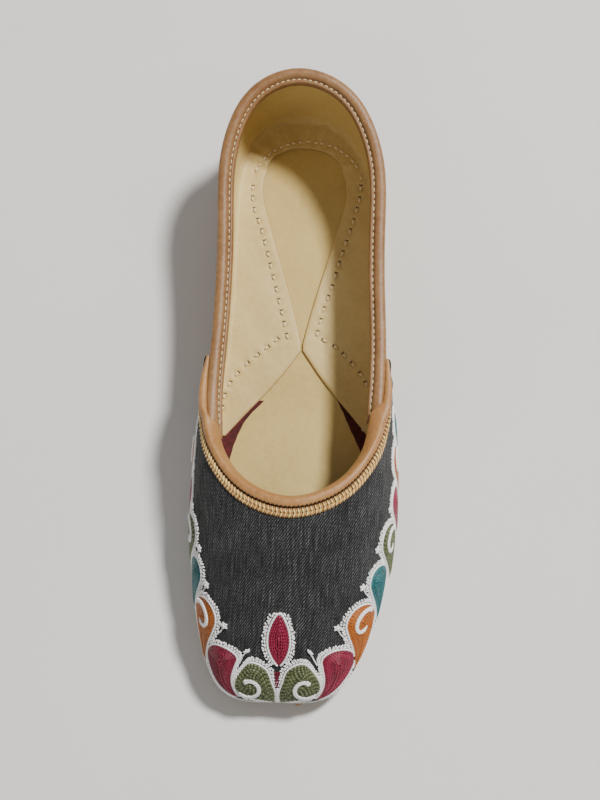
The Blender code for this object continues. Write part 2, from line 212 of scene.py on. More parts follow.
def lift(u, v):
    """Clearance between the vamp's cover and the upper."""
    away = np.abs(((u + HALF_ROWS) % LOOP_ROWS) - HALF_ROWS)
    return GAP + (BIND + 0.45) * smooth(6.7, 7.3, away) * smooth(0.72, 0.93, v)


def unit(a):
    return a / np.maximum(np.linalg.norm(a, axis=-1, keepdims=True), 1e-9)


def along(points):
    """Running length of a polyline."""
    return np.concatenate([[0.0], np.cumsum(np.linalg.norm(np.diff(points, axis=0), axis=1))])


def evenly(points, step):
    """The polyline resampled at about that step."""
    l = along(points)
    n = max(3, int(round(l[-1] / step)) + 1)
    t = np.linspace(0.0, l[-1], n)
    return np.stack([np.interp(t, l, points[:, k]) for k in range(points.shape[1])], -1)


def curve(rows, n=60):
    """A smooth curve through a few points."""
    p = np.array(rows, float)
    t = along(p)
    q = np.linspace(0, t[-1], n)
    return np.stack([open_spline(np.stack([t, p[:, k]], -1))(q) for k in range(p.shape[1])], -1)


# ------------------------------------------------------------------ meshes
class Build:
    """Gathers vertices and faces of one piece."""

    def __init__(self):
        self.v, self.f, self.m, self.tone, self.uv, self.n = [], [], [], [], [], 0

    def add(self, verts, faces, mat=0, tone=None, uv=None):
        verts = np.asarray(verts, float).reshape(-1, 3)
        for f in faces:
            f = np.asarray(f, int)
            if len(f):
                self.f.append(f + self.n)
                self.m.append(np.full(len(f), mat) if np.isscalar(mat) else np.asarray(mat))
        self.v.append(verts)
        self.tone.append(np.zeros(len(verts)) if tone is None else np.asarray(tone, float).reshape(-1))
        self.uv.append(verts[:, :2] if uv is None else np.asarray(uv, float).reshape(-1, 2))
        self.n += len(verts)

    def done(self, name, materials, slot, replaces=(), smooth_shade=True, flip=None):
        v = np.concatenate(self.v)
        vol = 0.0
        for f in self.f:
            for k in range(1, f.shape[1] - 1):
                a, b, c = v[f[:, 0]], v[f[:, k]], v[f[:, k + 1]]
                vol += float(np.einsum("ij,ij->i", a, np.cross(b, c)).sum())
        turn = vol < 0 if flip is None else flip
        faces = [f[:, ::-1] if turn else f for f in self.f]
        me = bpy.data.meshes.new(name)
        me.vertices.add(len(v))
        me.vertices.foreach_set("co", (v * MM).astype(np.float32).ravel())
        loops = np.concatenate([f.ravel() for f in faces])
        totals = np.concatenate([np.full(len(f), f.shape[1]) for f in faces])
        me.loops.add(len(loops))
        me.loops.foreach_set("vertex_index", loops.astype(np.int32))
        me.polygons.add(len(totals))
        me.polygons.foreach_set("loop_start", np.concatenate([[0], np.cumsum(totals)[:-1]]).astype(np.int32))
        me.polygons.foreach_set("material_index", np.concatenate(self.m).astype(np.int32))
        me.polygons.foreach_set("use_smooth", np.full(len(totals), smooth_shade))
        me.attributes.new("tone", "FLOAT", "POINT").data.foreach_set("value", np.concatenate(self.tone).astype(np.float32))
        layer = me.uv_layers.new(name="mm")
        layer.data.foreach_set("uv", np.concatenate(self.uv)[loops].astype(np.float32).ravel())
        me.update(calc_edges=True)
        me.validate()
        for m in materials:
            me.materials.append(m)
        o = bpy.data.objects.new(name, me)
        bpy.context.scene.collection.objects.link(o)
        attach(o, "root")
        if replaces:
            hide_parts(*replaces)
        return o


def grid_faces(i, j, wrap_i=False, wrap_j=False, base=0):
    a = np.arange(i * j).reshape(i, j) + base
    if wrap_i:
        a = np.concatenate([a, a[:1]])
    if wrap_j:
        a = np.concatenate([a, a[:, :1]], 1)
    return np.stack([a[:-1, :-1], a[1:, :-1], a[1:, 1:], a[:-1, 1:]], -1).reshape(-1, 4)


def add_sheet(b, outer, inner, wrap=False, mat=0, inner_mat=None, tone=None, uv=None):
    """A closed sheet between two grids (i, j, 3)."""
    i, j = outer.shape[:2]
    fo = grid_faces(i, j, wrap)
    fi = grid_faces(i, j, wrap, base=i * j)[:, ::-1]
    a = np.arange(i * j).reshape(i, j)
    c = a + i * j
    rims = []
    for k in (0, j - 1):
        e, g = a[:, k], c[:, k]
        if wrap:
            e, g = np.append(e, e[0]), np.append(g, g[0])
        q = np.stack([e[:-1], g[:-1], g[1:], e[1:]], -1)
        rims.append(q if k == 0 else q[:, ::-1])
    if not wrap:
        for k in (0, i - 1):
            e, g = a[k], c[k]
            q = np.stack([e[:-1], e[1:], g[1:], g[:-1]], -1)
            rims.append(q if k == 0 else q[:, ::-1])
    rims = np.concatenate(rims)
    im = mat if inner_mat is None else inner_mat
    ms = [np.full(len(fo), mat), np.full(len(fi), im) if np.isscalar(im) else im, np.full(len(rims), mat)]
    v = np.concatenate([outer.reshape(-1, 3), inner.reshape(-1, 3)])
    t = None if tone is None else np.concatenate([tone.ravel(), np.zeros(i * j)])
    w = None if uv is None else np.concatenate([uv.reshape(-1, 2)] * 2)
    b.add(v, [np.concatenate([fo, fi, rims])], mat=np.concatenate(ms), tone=t, uv=w)


def add_loft(b, rings, mat=0, tone=None, uv=None, closed_ends=True):
    """Closed rings (n, k, 3) joined one after another, with their ends capped."""
    n, k = rings.shape[:2]
    faces = grid_faces(n, k, wrap_j=True)
    v = rings.reshape(-1, 3)
    extra, tris = [], []
    if closed_ends:
        for row, turn in ((0, False), (n - 1, True)):
            c = len(v) + len(extra)
            extra.append(rings[row].mean(0))
            e = np.arange(k) + row * k
            t = np.stack([np.full(k, c), e, np.roll(e, -1)], -1)
            tris.append(t[:, ::-1] if turn else t)
    t = None
    if tone is not None:
        t = np.concatenate([tone.ravel(), [tone[0].mean(), tone[-1].mean()][:len(extra)]])
    w = None
    if uv is not None:
        w = np.concatenate([uv.reshape(-1, 2)] + ([uv[0].mean(0)[None], uv[-1].mean(0)[None]] if extra else []))
    if extra:
        v = np.concatenate([v, np.array(extra)])
        b.add(v, [faces, np.concatenate(tris)], mat=mat, tone=t, uv=w)
    else:
        b.add(v, [faces], mat=mat, tone=t, uv=w)


def add_tubes(b, c, nrm, wide, high, sides=6, tone=None, mat=0):
    """Threads: c and nrm (m, k, 3), wide and high (m, k) half sizes, each tube closed by a point at its ends."""
    m, k = c.shape[:2]
    t = unit(np.gradient(c, axis=1))
    side = unit(np.cross(t, nrm))
    up = np.cross(side, t)
    ang = 2 * math.pi * (np.arange(sides) + 0.5) / sides
    ring = (c[:, :, None] + side[:, :, None] * (wide[:, :, None] * np.cos(ang))[..., None]
            + up[:, :, None] * (high[:, :, None] * np.sin(ang))[..., None])
    v = ring.reshape(-1, 3)
    a = np.arange(m * k * sides).reshape(m, k, sides)
    an = np.roll(a, -1, 2)
    quads = np.stack([a[:, :-1], an[:, :-1], an[:, 1:], a[:, 1:]], -1).reshape(-1, 4)
    ends = c[:, [0, -1]] + t[:, [0, -1]] * (np.array([-0.6, 0.6])[None, :, None] * high[:, [0, -1]][..., None])
    e0 = (len(v) + np.arange(m) * 2)[:, None]
    e1 = e0 + 1
    cap0 = np.stack([np.broadcast_to(e0, (m, sides)), an[:, 0], a[:, 0]], -1).reshape(-1, 3)
    cap1 = np.stack([np.broadcast_to(e1, (m, sides)), a[:, -1], an[:, -1]], -1).reshape(-1, 3)
    tn = np.zeros((m, k)) if tone is None else tone
    tones = np.concatenate([np.repeat(tn.ravel(), sides), tn[:, [0, -1]].ravel()])
    b.add(np.concatenate([v, ends.reshape(-1, 3)]), [quads, np.concatenate([cap0, cap1])], mat=mat, tone=tones)


def add_thread(b, points, nrm, wide, high, sides=6, tone=None, mat=0):
    n = len(points)
    w = np.broadcast_to(np.asarray(wide, float), (n,))
    h = np.broadcast_to(np.asarray(high, float), (n,))
    t = None if tone is None else np.broadcast_to(np.asarray(tone, float), (n,))[None]
    add_tubes(b, points[None], nrm[None], w[None], h[None], sides, t, mat)


# ------------------------------------------------------------------ materials
def lin(r, g, b):
    """sRGB 0 to 255 to linear colour."""
    c = np.array([r, g, b], float) / 255.0
    c = np.where(c <= 0.04045, c / 12.92, ((c + 0.055) / 1.055) ** 2.4)
    return float(c[0]), float(c[1]), float(c[2]), 1.0


class Net:
    def __init__(self, name):
        self.mat = bpy.data.materials.new(name)
        self.mat.use_nodes = True
        self.tree = self.mat.node_tree
        self.shader = self.tree.nodes["Principled BSDF"]
        self.coord = None

    def node(self, kind, inputs=None, **props):
        n = self.tree.nodes.new(kind)
        for k, val in props.items():
            setattr(n, k, val)
        for k, val in (inputs or {}).items():
            if isinstance(val, bpy.types.NodeSocket):
                self.tree.links.new(val, n.inputs[k])
            else:
                n.inputs[k].default_value = val
        return n

    def set(self, **values):
        for k, val in values.items():
            sock = self.shader.inputs[k.replace("_", " ")]
            if isinstance(val, bpy.types.NodeSocket):
                self.tree.links.new(val, sock)
            else:
                sock.default_value = val

    def object_mm(self):
        if self.coord is None:
            tc = self.node("ShaderNodeTexCoord")
            self.coord = self.node("ShaderNodeVectorMath", {0: tc.outputs["Object"], 1: (1000.0, 1000.0, 1000.0)},
                                   operation="MULTIPLY").outputs[0]
        return self.coord

    def uv(self):
        return self.node("ShaderNodeUVMap", uv_map="mm").outputs[0]

    def stretched(self, vec, scale):
        return self.node("ShaderNodeVectorMath", {0: vec, 1: scale}, operation="MULTIPLY").outputs[0]

    def noise(self, vec, scale, detail=3.0, rough=0.55, distort=0.0):
        return self.node("ShaderNodeTexNoise", {"Vector": vec, "Scale": scale, "Detail": detail, "Roughness": rough,
                                                "Distortion": distort}).outputs[0]

    def cells(self, vec, scale, feature="DISTANCE_TO_EDGE"):
        return self.node("ShaderNodeTexVoronoi", {"Vector": vec, "Scale": scale}, feature=feature).outputs["Distance"]

    def math(self, op, a, b=0.0, c=0.0):
        return self.node("ShaderNodeMath", {0: a, 1: b, 2: c}, operation=op).outputs[0]

    def remap(self, x, a, b, c=0.0, d=1.0):
        return self.node("ShaderNodeMapRange", {0: x, 1: a, 2: b, 3: c, 4: d}).outputs[0]

    def ramp(self, fac, stops):
        n = self.node("ShaderNodeValToRGB", {0: fac})
        el = n.color_ramp.elements
        while len(el) < len(stops):
            el.new(0.5)
        for e, (pos, col) in zip(el, stops):
            e.position = pos
            e.color = col
        return n.outputs[0]

    def mix(self, fac, a, b, blend="MIX"):
        n = self.tree.nodes.new("ShaderNodeMix")
        n.data_type = "RGBA"
        n.blend_type = blend
        for k, val in ((0, fac), (6, a), (7, b)):
            if isinstance(val, bpy.types.NodeSocket):
                self.tree.links.new(val, n.inputs[k])
            else:
                n.inputs[k].default_value = val
        return n.outputs[2]

    def attr(self, name):
        return self.node("ShaderNodeAttribute", attribute_name=name).outputs["Fac"]

    def bump(self, height, depth_mm, strength=1.0, normal=None):
        ins = {"Height": height, "Distance": depth_mm * MM, "Strength": strength}
        if normal is not None:
            ins["Normal"] = normal
        return self.node("ShaderNodeBump", ins).outputs[0]


def leather(name, dark, mid, light, rough=0.5, grain=1.5, grain_mm=0.05, blotch=0.05, edge=None, sheen=0.0,
            pores=True, mottled=0.5):
    """Smooth leather: slow blotches, fine mottling, grain cells, a rougher dry look in the valleys."""
    n = Net(name)
    p = n.object_mm()
    slow = n.noise(p, blotch, 4.0, 0.6)
    fine = n.noise(p, 0.55, 4.0, 0.6)
    tiny = n.noise(p, 3.2, 2.0, 0.5)
    f = n.math("ADD", n.math("MULTIPLY", slow, 1.0 - mottled), n.math("MULTIPLY", fine, mottled))
    f = n.math("ADD", n.math("MULTIPLY", f, 0.86), n.math("MULTIPLY", tiny, 0.14))
    col = n.ramp(f, [(0.33, dark), (0.5, mid), (0.68, light)])
    # the edge colour, mixed in by the tone attribute: the cut edges' own colour, and painted shade in dents: the
    # collar's stitch groove, round the flap stitches, at the throat roll's stitch holes
    if edge is not None:
        col = n.mix(n.remap(n.attr("tone"), 0.0, 1.0), col, edge)
    n.set(Base_Color=col)
    cell = n.cells(p, grain)
    h = n.remap(cell, 0.0, 0.22)
    h = n.math("ADD", n.math("MULTIPLY", h, 0.6), n.math("MULTIPLY", tiny, 0.5))
    nb = n.bump(h, grain_mm)
    if pores:
        pore = n.remap(n.cells(p, 0.8, "F1"), 0.05, 0.16)
        nb = n.bump(pore, grain_mm * 0.5, normal=nb)
    wave = n.noise(p, 0.12, 2.0)
    nb = n.bump(wave, 0.35, normal=nb)
    n.set(Normal=nb, Roughness=n.remap(n.math("ADD", fine, tiny), 0.7, 1.3, rough - 0.07, rough + 0.09))
    n.shader.inputs["Specular IOR Level"].default_value = 0.42
    if sheen:
        n.shader.inputs["Sheen Weight"].default_value = sheen
        n.shader.inputs["Sheen Roughness"].default_value = 0.5
    return n.mat


def twill(name):
    """Charcoal twill: slanting ribs, lengthwise slubs, pale flecks of the undyed weft."""
    n = Net(name)
    uv = n.uv()
    sep = n.node("ShaderNodeSeparateXYZ", {0: uv})
    x, y = sep.outputs[0], sep.outputs[1]
    wob = n.noise(n.stretched(uv, (0.5, 0.5, 1.0)), 1.0, 2.0)
    wobble = n.math("MULTIPLY", n.math("SUBTRACT", wob, 0.5), 0.9)
    d = n.math("ADD", n.math("SUBTRACT", n.math("MULTIPLY", x, 0.82), n.math("MULTIPLY", y, 0.57)), wobble)
    rib = n.math("SINE", n.math("MULTIPLY", d, 2 * math.pi / 0.88))
    warp = n.math("SINE", n.math("MULTIPLY", x, 2 * math.pi / 0.52))
    weft = n.math("SINE", n.math("MULTIPLY", y, 2 * math.pi / 0.56))
    slub = n.noise(n.stretched(uv, (1.5, 0.09, 1.0)), 1.0, 3.0, 0.6)
    slub2 = n.noise(n.stretched(uv, (0.22, 1.7, 1.0)), 1.0, 2.0, 0.5)
    fleck = n.noise(n.stretched(uv, (2.6, 2.2, 1.0)), 1.0, 2.0, 0.6)
    big = n.noise(uv, 0.035, 3.0, 0.6)
    f = n.math("ADD", n.math("MULTIPLY", rib, 0.13), 0.0)
    f = n.math("ADD", f, n.math("MULTIPLY", n.math("MULTIPLY", warp, weft), 0.05))
    f = n.math("ADD", f, n.math("MULTIPLY", slub, 0.55))
    f = n.math("ADD", f, n.math("MULTIPLY", slub2, 0.18))
    f = n.math("ADD", f, n.math("MULTIPLY", fleck, 0.42))
    f = n.math("ADD", f, n.math("MULTIPLY", big, 0.2))
    col = n.ramp(n.remap(f, 0.46, 0.94), [(0.0, (0.004, 0.0042, 0.0048, 1)), (0.42, (0.017, 0.0175, 0.0188, 1)),
                                         (0.72, (0.058, 0.059, 0.061, 1)), (1.0, (0.19, 0.19, 0.188, 1))])
    n.set(Base_Color=col, Roughness=0.88)
    n.shader.inputs["Specular IOR Level"].default_value = 0.25
    n.shader.inputs["Sheen Weight"].default_value = 0.06
    n.shader.inputs["Sheen Roughness"].default_value = 0.45
    nb = n.bump(rib, 0.07)
    nb = n.bump(n.math("MULTIPLY", warp, weft), 0.05, normal=nb)
    nb = n.bump(fleck, 0.07, normal=nb)
    n.set(Normal=nb)
    return n.mat


def thread(name, dark, mid, light, rough=0.5, sheen=0.25, fine=4.0):
    """Embroidery thread: tone runs along each stitch, mostly as painted light (a painted highlight at its raised
    middle, painted shade at its ends), and also sets strand to strand differences; fine twist.
    """
    n = Net(name)
    p = n.object_mm()
    a = n.noise(p, 0.7, 3.0, 0.6)
    b = n.noise(p, fine, 2.0, 0.6)
    t = n.attr("tone")
    f = n.math("ADD", n.math("MULTIPLY", a, 0.35), n.math("MULTIPLY", b, 0.3))
    f = n.math("ADD", f, n.math("MULTIPLY", t, 0.5))
    n.set(Base_Color=n.ramp(n.remap(f, 0.2, 0.95), [(0.0, dark), (0.5, mid), (1.0, light)]), Roughness=rough)
    n.set(Normal=n.bump(n.noise(n.stretched(p, (1.0, 1.0, 1.0)), 7.0, 2.0), 0.06))
    n.shader.inputs["Sheen Weight"].default_value = sheen
    n.shader.inputs["Sheen Roughness"].default_value = 0.35
    return n.mat


def woven(name, dark, light, pitch=0.7):
    """Plain lining cloth seen inside the vamp."""
    n = Net(name)
    p = n.object_mm()
    sep = n.node("ShaderNodeSeparateXYZ", {0: p})
    wx = n.math("SINE", n.math("MULTIPLY", sep.outputs[0], 2 * math.pi / pitch))
    wy = n.math("SINE", n.math("MULTIPLY", sep.outputs[1], 2 * math.pi / pitch))
    w = n.math("MULTIPLY", wx, wy)
    f = n.math("ADD", n.math("MULTIPLY", n.noise(p, 0.5, 4.0), 0.8), n.math("MULTIPLY", w, 0.14))
    n.set(Base_Color=n.ramp(f, [(0.22, dark), (0.6, light)]), Roughness=0.85, Normal=n.bump(w, 0.08))
    n.shader.inputs["Sheen Weight"].default_value = 0.1
    return n.mat


def sole_hide(name, dark, mid, light):
    """Vegetable-tanned sole leather: fibrous layers on its edges, scuffed grain underneath."""
    n = Net(name)
    p = n.object_mm()
    layer = n.noise(n.stretched(p, (0.12, 0.12, 2.4)), 1.0, 4.0, 0.6)
    slow = n.noise(p, 0.045, 4.0, 0.6)
    fine = n.noise(p, 1.4, 4.0, 0.65)
    scuff = n.remap(n.noise(n.stretched(p, (0.35, 0.05, 0.3)), 1.0, 5.0, 0.7), 0.55, 0.75)
    f = n.math("ADD", n.math("MULTIPLY", layer, 0.38), n.math("MULTIPLY", slow, 0.32))
    f = n.math("ADD", f, n.math("MULTIPLY", fine, 0.3))
    col = n.ramp(f, [(0.3, dark), (0.5, mid), (0.7, light)])
    col = n.mix(n.math("MULTIPLY", scuff, 0.35), col, lin(196, 166, 124))
    col = n.mix(n.remap(n.attr("tone"), 0.0, 1.0), col, lin(74, 48, 28))
    n.set(Base_Color=col, Roughness=n.remap(fine, 0.3, 0.7, 0.5, 0.72))
    nb = n.bump(layer, 0.12)
    nb = n.bump(fine, 0.08, normal=nb)
    nb = n.bump(n.cells(p, 1.1), 0.05, normal=nb)
    n.set(Normal=nb)
    return n.mat




def dye(k, *colours):
    """Colours made stronger: sRGB rows to linear, times k, kept under what a real surface gives back."""
    return [tuple(min(0.93, v * f) for v, f in zip(lin(*c)[:3], k)) + (1.0,) for c in colours]


K = (1.04, 0.99, 0.68)
BEIGE = leather("lining_beige", *dye(K, (190, 168, 128), (205, 184, 145), (216, 197, 160)), 0.52, 1.5, 0.03, 0.03,
                edge=dye(K, (160, 128, 88))[0], mottled=0.35)
K = (1.00, 0.92, 0.52)
FOOTBED = leather("footbed_beige", *dye(K, (186, 166, 126), (200, 180, 141), (210, 191, 153)), 0.48, 1.7, 0.025,
                  0.025, edge=dye(K, (160, 130, 90))[0], mottled=0.3)
K = (0.76, 0.69, 0.50)
TAN = leather("binding_tan", *dye(K, (168, 120, 80), (188, 141, 98), (205, 160, 118)), 0.40, 1.6, 0.04, 0.06,
              edge=dye(K, (118, 76, 46))[0], mottled=0.5)
K = (0.58, 0.53, 0.42)
COLLAR = leather("collar_tan", *dye(K, (154, 110, 73), (180, 137, 97), (202, 161, 121)), 0.40, 1.6, 0.045, 0.06,
                 edge=dye(K, (112, 74, 46))[0], mottled=0.5)
QUARTER = leather("quarter_tan", *dye((0.80, 0.74, 0.55), (150, 104, 66), (174, 127, 86), (192, 148, 104)), 0.48, 1.2, 0.07, 0.04,
                  mottled=0.45)
MAROON = woven("vamp_lining_maroon", *dye((0.62, 0.44, 0.50), (58, 16, 18), (126, 44, 46)))
DENIM = twill("charcoal_twill")
SOLE = sole_hide("sole_leather_natural", lin(150, 112, 70), lin(182, 145, 100), lin(204, 170, 124))
EDGE = sole_hide("heel_stack_leather", lin(120, 82, 50), lin(150, 110, 70), lin(176, 136, 92))
MAGENTA = thread("thread_magenta", *dye((0.50, 0.30, 0.44), (66, 8, 28), (172, 26, 70), (226, 84, 120)), 0.42, 0.1)
ORANGE = thread("thread_orange", *dye((0.64, 0.46, 0.18), (122, 62, 14), (204, 126, 38), (240, 178, 90)), 0.42, 0.1)
TEAL = thread("thread_teal", *dye((0.34, 0.43, 0.46), (6, 66, 72), (28, 142, 146), (112, 200, 198)), 0.42, 0.1)
GREEN = thread("thread_olive", *dye((0.46, 0.48, 0.42), (34, 40, 20), (112, 120, 74), (196, 202, 156)), 0.5, 0.1)
WHITE = thread("thread_white", *dye((1.35, 1.35, 1.33), (190, 186, 178), (230, 227, 221), (246, 244, 240)), 0.6, 0.15)
CREAM = thread("thread_cream", *dye((0.95, 0.88, 0.68), (180, 162, 130), (222, 206, 176), (240, 230, 208)), 0.5, 0.1)
GOLD = thread("thread_gold", *dye((1.30, 1.14, 0.80), (112, 80, 48), (186, 150, 106), (244, 216, 166)), 0.34, 0.2)
# dark tubes set in stitch holes and beside stitches: painted shade
HOLE_SHADE = thread("stitch_hole", lin(30, 20, 14), lin(50, 34, 24), lin(66, 46, 32), 0.9, 0.0)
# brown bed under the whipped braid: painted shade between its strands
WHIP_GAP_SHADE = thread("whip_gap_painted_shade", lin(70, 46, 28), lin(110, 76, 46), lin(140, 100, 62), 0.7, 0.0)
GREY = thread("seam_grey", lin(30, 30, 32), lin(58, 58, 60), lin(92, 92, 94), 0.7, 0.1)

rng = np.random.default_rng(7)


# ------------------------------------------------------------------ the vamp's cloth
def centre_profile():
    v = np.linspace(0.0, 1.0, 160)
    p = upper_point(np.zeros_like(v), v, GAP + COVER)
    return p[:, 1], p[:, 2], along(p[:, 1:])


PROF_Y, PROF_Z, PROF_L = centre_profile()


def cloth_uv(p):
    """Flat cloth sizes, mm: across from the middle line, and lengthwise."""
    x, y, z = p[..., 0], p[..., 1], p[..., 2]
    zc = np.interp(y, PROF_Y, PROF_Z)
    mid = swing(y - TOE_Y) + CENTRE_X
    back = np.maximum(y - PROF_Y[-1], 0.0)
    return np.stack([(x - mid) + np.sign(x - mid) * 0.57 * np.maximum(zc - z, 0.0),
                     np.interp(y, PROF_Y, PROF_L) + back], -1)


def cloth_waves(u, v):
    """Soft unevenness of the cloth over its backing, and a shallow fold toward each wing."""
    w = 0.10 * np.sin(2.1 * u + 0.7) * np.sin(math.pi * v) + 0.07 * np.sin(5.3 * u - 1.1 + 3.0 * v) * np.sin(math.pi * v)
    for side in (-1.0, 1.0):
        for at, size, wide in ((5.7, 0.20, 0.16), (6.5, -0.16, 0.2), (7.4, 0.14, 0.18)):
            w = w + size * np.exp(-((u * side - at - 0.6 * (v - 0.5)) / wide) ** 2) * smooth(0.15, 0.5, v) * smooth(1.0, 0.8, v)
    return w


us = np.linspace(-WING, WING, 321)
vs = np.linspace(0.0, 0.995, 65)
UU, VV = np.meshgrid(us, vs, indexing="ij")
near_edge = np.minimum(UU + WING, WING - UU)
high_off = lift(UU, VV) + COVER + cloth_waves(UU, VV) * smooth(0.0, 0.25, near_edge)
high_off = high_off - 0.55 * (1.0 - smooth(0.0, 0.07, near_edge))
outer = upper_point(UU, VV, high_off)
inner = upper_point(UU, VV, lift(UU, VV))
b = Build()
add_sheet(b, outer, inner, uv=cloth_uv(outer))
b.done("vamp_cloth", [DENIM], "charcoal_cloth", ["vamp_cover"])

# seams near the wings' rear edges
b = Build()
for side in (-1.0, 1.0):
    for inset in (2.4,):
        v = np.linspace(0.03, 0.86, 300)
        edge = upper_point(np.full_like(v, side * WING), v, 1.9)
        l = along(edge)
        per_u = np.linalg.norm(upper_point(side * WING, 0.5) - upper_point(side * (WING - 0.2), 0.5)) / 0.2
        starts = np.arange(1.0, l[-1] - 2.0, 2.3)
        t = np.linspace(0.0, 1.0, 5)
        ll = starts[:, None] + 1.6 * t
        vv = np.interp(ll, l, v)
        uu = np.full_like(vv, side * (WING - inset / per_u))
        hh = np.broadcast_to(0.05 + 0.16 * np.sin(math.pi * t), vv.shape)
        c = upper_point(uu, vv, lift(uu, vv) + COVER + hh)
        nn = unit(upper_point(uu, vv, 3.0) - upper_point(uu, vv, 1.0))
        # tone highest at each stitch's middle: painted highlight; lower at its ends: painted shade
        add_tubes(b, c, nn, np.full(vv.shape, 0.22), np.full(vv.shape, 0.2), 5, np.broadcast_to(0.3 + 0.5 * np.sin(math.pi * t), vv.shape))
b.done("wing_stitches", [GREY], "charcoal_cloth")


# ------------------------------------------------------------------ the embroidery's chart: along the feather line, and up the cloth
def make_chart():
    nv, off = 61, 1.8
    sig = np.linspace(-152.0, 152.0, 305)
    eta = np.linspace(0.0, 46.0, 93)
    vr = np.linspace(0.0, 1.0, nv)
    ur = np.linspace(-10.4, 10.4, 1041)
    p = upper_point(*np.meshgrid(ur, vr, indexing="ij"), off)
    foot = p[:, 0]
    l0 = along(foot[:, :2])
    l0 = l0 - np.interp(0.0, ur, l0)
    t = np.gradient(foot[:, :2], l0, axis=0)
    t /= np.linalg.norm(t, axis=1, keepdims=True)
    us_ = np.interp(sig, l0, ur)
    fx = np.stack([np.interp(sig, l0, foot[:, k]) for k in (0, 1)], -1)
    tx = np.stack([np.interp(sig, l0, t[:, k]) for k in (0, 1)], -1)
    tab_u, tab_v = np.zeros((len(sig), len(eta))), np.zeros((len(sig), len(eta)))
    for i in range(len(sig)):
        g = (p[..., 0] - fx[i, 0]) * tx[i, 0] + (p[..., 1] - fx[i, 1]) * tx[i, 1]
        uc = us_[i]
        cu, cv, pts = [uc], [0.0], [np.array([np.interp(uc, ur, foot[:, k]) for k in range(3)])]
        for j in range(1, nv):
            lo = np.searchsorted(ur, uc - 0.9)
            hi = np.searchsorted(ur, uc + 0.9)
            gg, uu_ = g[lo:hi, j], ur[lo:hi]
            k = np.nonzero(np.sign(gg[:-1]) != np.sign(gg[1:]))[0]
            if len(k) == 0:
                break
            k = k[np.argmin(np.abs(uu_[k] - uc))]
            w = gg[k] / (gg[k] - gg[k + 1])
            uc = uu_[k] + w * (uu_[k + 1] - uu_[k])
            cu.append(uc)
            cv.append(vr[j])
            pts.append(p[lo + k, j] * (1 - w) + p[lo + k + 1, j] * w)
        e = along(np.array(pts))
        tab_u[i] = np.interp(eta, e, cu)
        tab_v[i] = np.minimum(np.interp(eta, e, cv), 0.985)
    tab_u = np.clip(tab_u, -WING + 0.02, WING - 0.02)
    base = lift(tab_u, tab_v) + COVER + cloth_waves(tab_u, tab_v)
    q0 = upper_point(tab_u, tab_v, base)
    q1 = upper_point(tab_u, tab_v, base + 1.0)
    return sig, eta, q0, unit(q1 - q0)


CH_S, CH_E, CH_P, CH_N = make_chart()


def on_cloth(points, h=0.0):
    """Chart points (n, 2) to places on the cloth, and the cloth's normals."""
    i = np.clip((points[:, 0] - CH_S[0]) / (CH_S[1] - CH_S[0]), 0, len(CH_S) - 1.001)
    j = np.clip((points[:, 1] - CH_E[0]) / (CH_E[1] - CH_E[0]), 0, len(CH_E) - 1.001)
    a, c = i.astype(int), j.astype(int)
    fa, fc = (i - a)[:, None], (j - c)[:, None]

    def pick(g):
        return ((g[a, c] * (1 - fc) + g[a, c + 1] * fc) * (1 - fa)
                + (g[a + 1, c] * (1 - fc) + g[a + 1, c + 1] * fc) * fa)

    nrm = unit(pick(CH_N))
    return pick(CH_P) + nrm * np.broadcast_to(np.asarray(h, float), (len(points),))[:, None], nrm


def petal(colour, rows, swirl=None):
    """A petal as discs along a curved middle line: rows of (along, up, radius) from the tail to the head's middle."""
    p = np.array(rows, float)
    t = along(p[:, :2])
    q = np.linspace(0, t[-1], 90)
    c = np.stack([open_spline(np.stack([t, p[:, k]], -1))(q) for k in range(2)], -1)
    r = np.interp(q, t, p[:, 2])
    r = np.convolve(np.pad(r, 8, mode="edge"), np.hanning(17) / np.hanning(17).sum(), "valid")
    return {"colour": colour, "c": c, "r": r, "swirl": swirl}


# colour, tail (along, up), a point of the middle line, the head's middle, its radius, with a swirl or not
RIGHT = (
    ("green", (1.6, 3.2), (4.6, 8.0), (10.2, 14.3), 8.2, True),
    ("magenta", (15.5, 4.6), (23.0, 9.4), (31.3, 16.4), 7.1, False),
    ("orange", (34.6, 7.4), (41.5, 11.8), (50.8, 20.0), 7.4, True),
    ("teal", (55.2, 9.6), (61.0, 13.6), (68.4, 20.4), 6.1, False),
    ("green", (72.8, 8.8), (77.5, 12.8), (84.6, 20.2), 6.9, True),
    ("magenta", (89.8, 8.6), (94.5, 12.2), (100.8, 18.6), 6.1, False),
    ("orange", (105.6, 8.2), (110.6, 12.0), (117.0, 18.2), 6.3, True),
    ("teal", (121.4, 8.0), (126.2, 11.6), (132.0, 17.2), 5.5, False),
)
LEFT_UP = (0.0, 0.3, -1.7, -2.0, -2.0, -2.0, -2.0, -1.6)      # the inner side sits a little lower from the third petal
PETALS = []
for (colour, tail, mid, head, radius, swirl), up in zip(RIGHT, LEFT_UP):
    for side in (1.0, -1.0):
        dy = up if side < 0 else 0.0
        rows = [(side * tail[0], tail[1] + dy * 0.5, 0.45),
                (side * mid[0], mid[1] + dy * 0.8, radius * 0.52),
                (side * (mid[0] * 0.4 + head[0] * 0.6), mid[1] * 0.42 + head[1] * 0.58 + dy, radius * 0.86),
                (side * head[0], head[1] + dy, radius)]
        PETALS.append({**petal(colour, rows), "swirl": swirl, "side": side, "R": radius, "head": (side * head[0], head[1] + dy)})
t = np.linspace(0.0, 1.0, 90)
LEAF = {"colour": "magenta", "c": np.stack([0.7 + 0.0 * t, 22.0 + 20.8 * t], -1),
        "r": 3.5 * np.sin(math.pi * t ** 0.92) ** 0.85 + 0.02, "swirl": False, "side": 1.0, "R": 3.5, "head": (0.7, 33.0)}
SHAPES = PETALS + [LEAF]


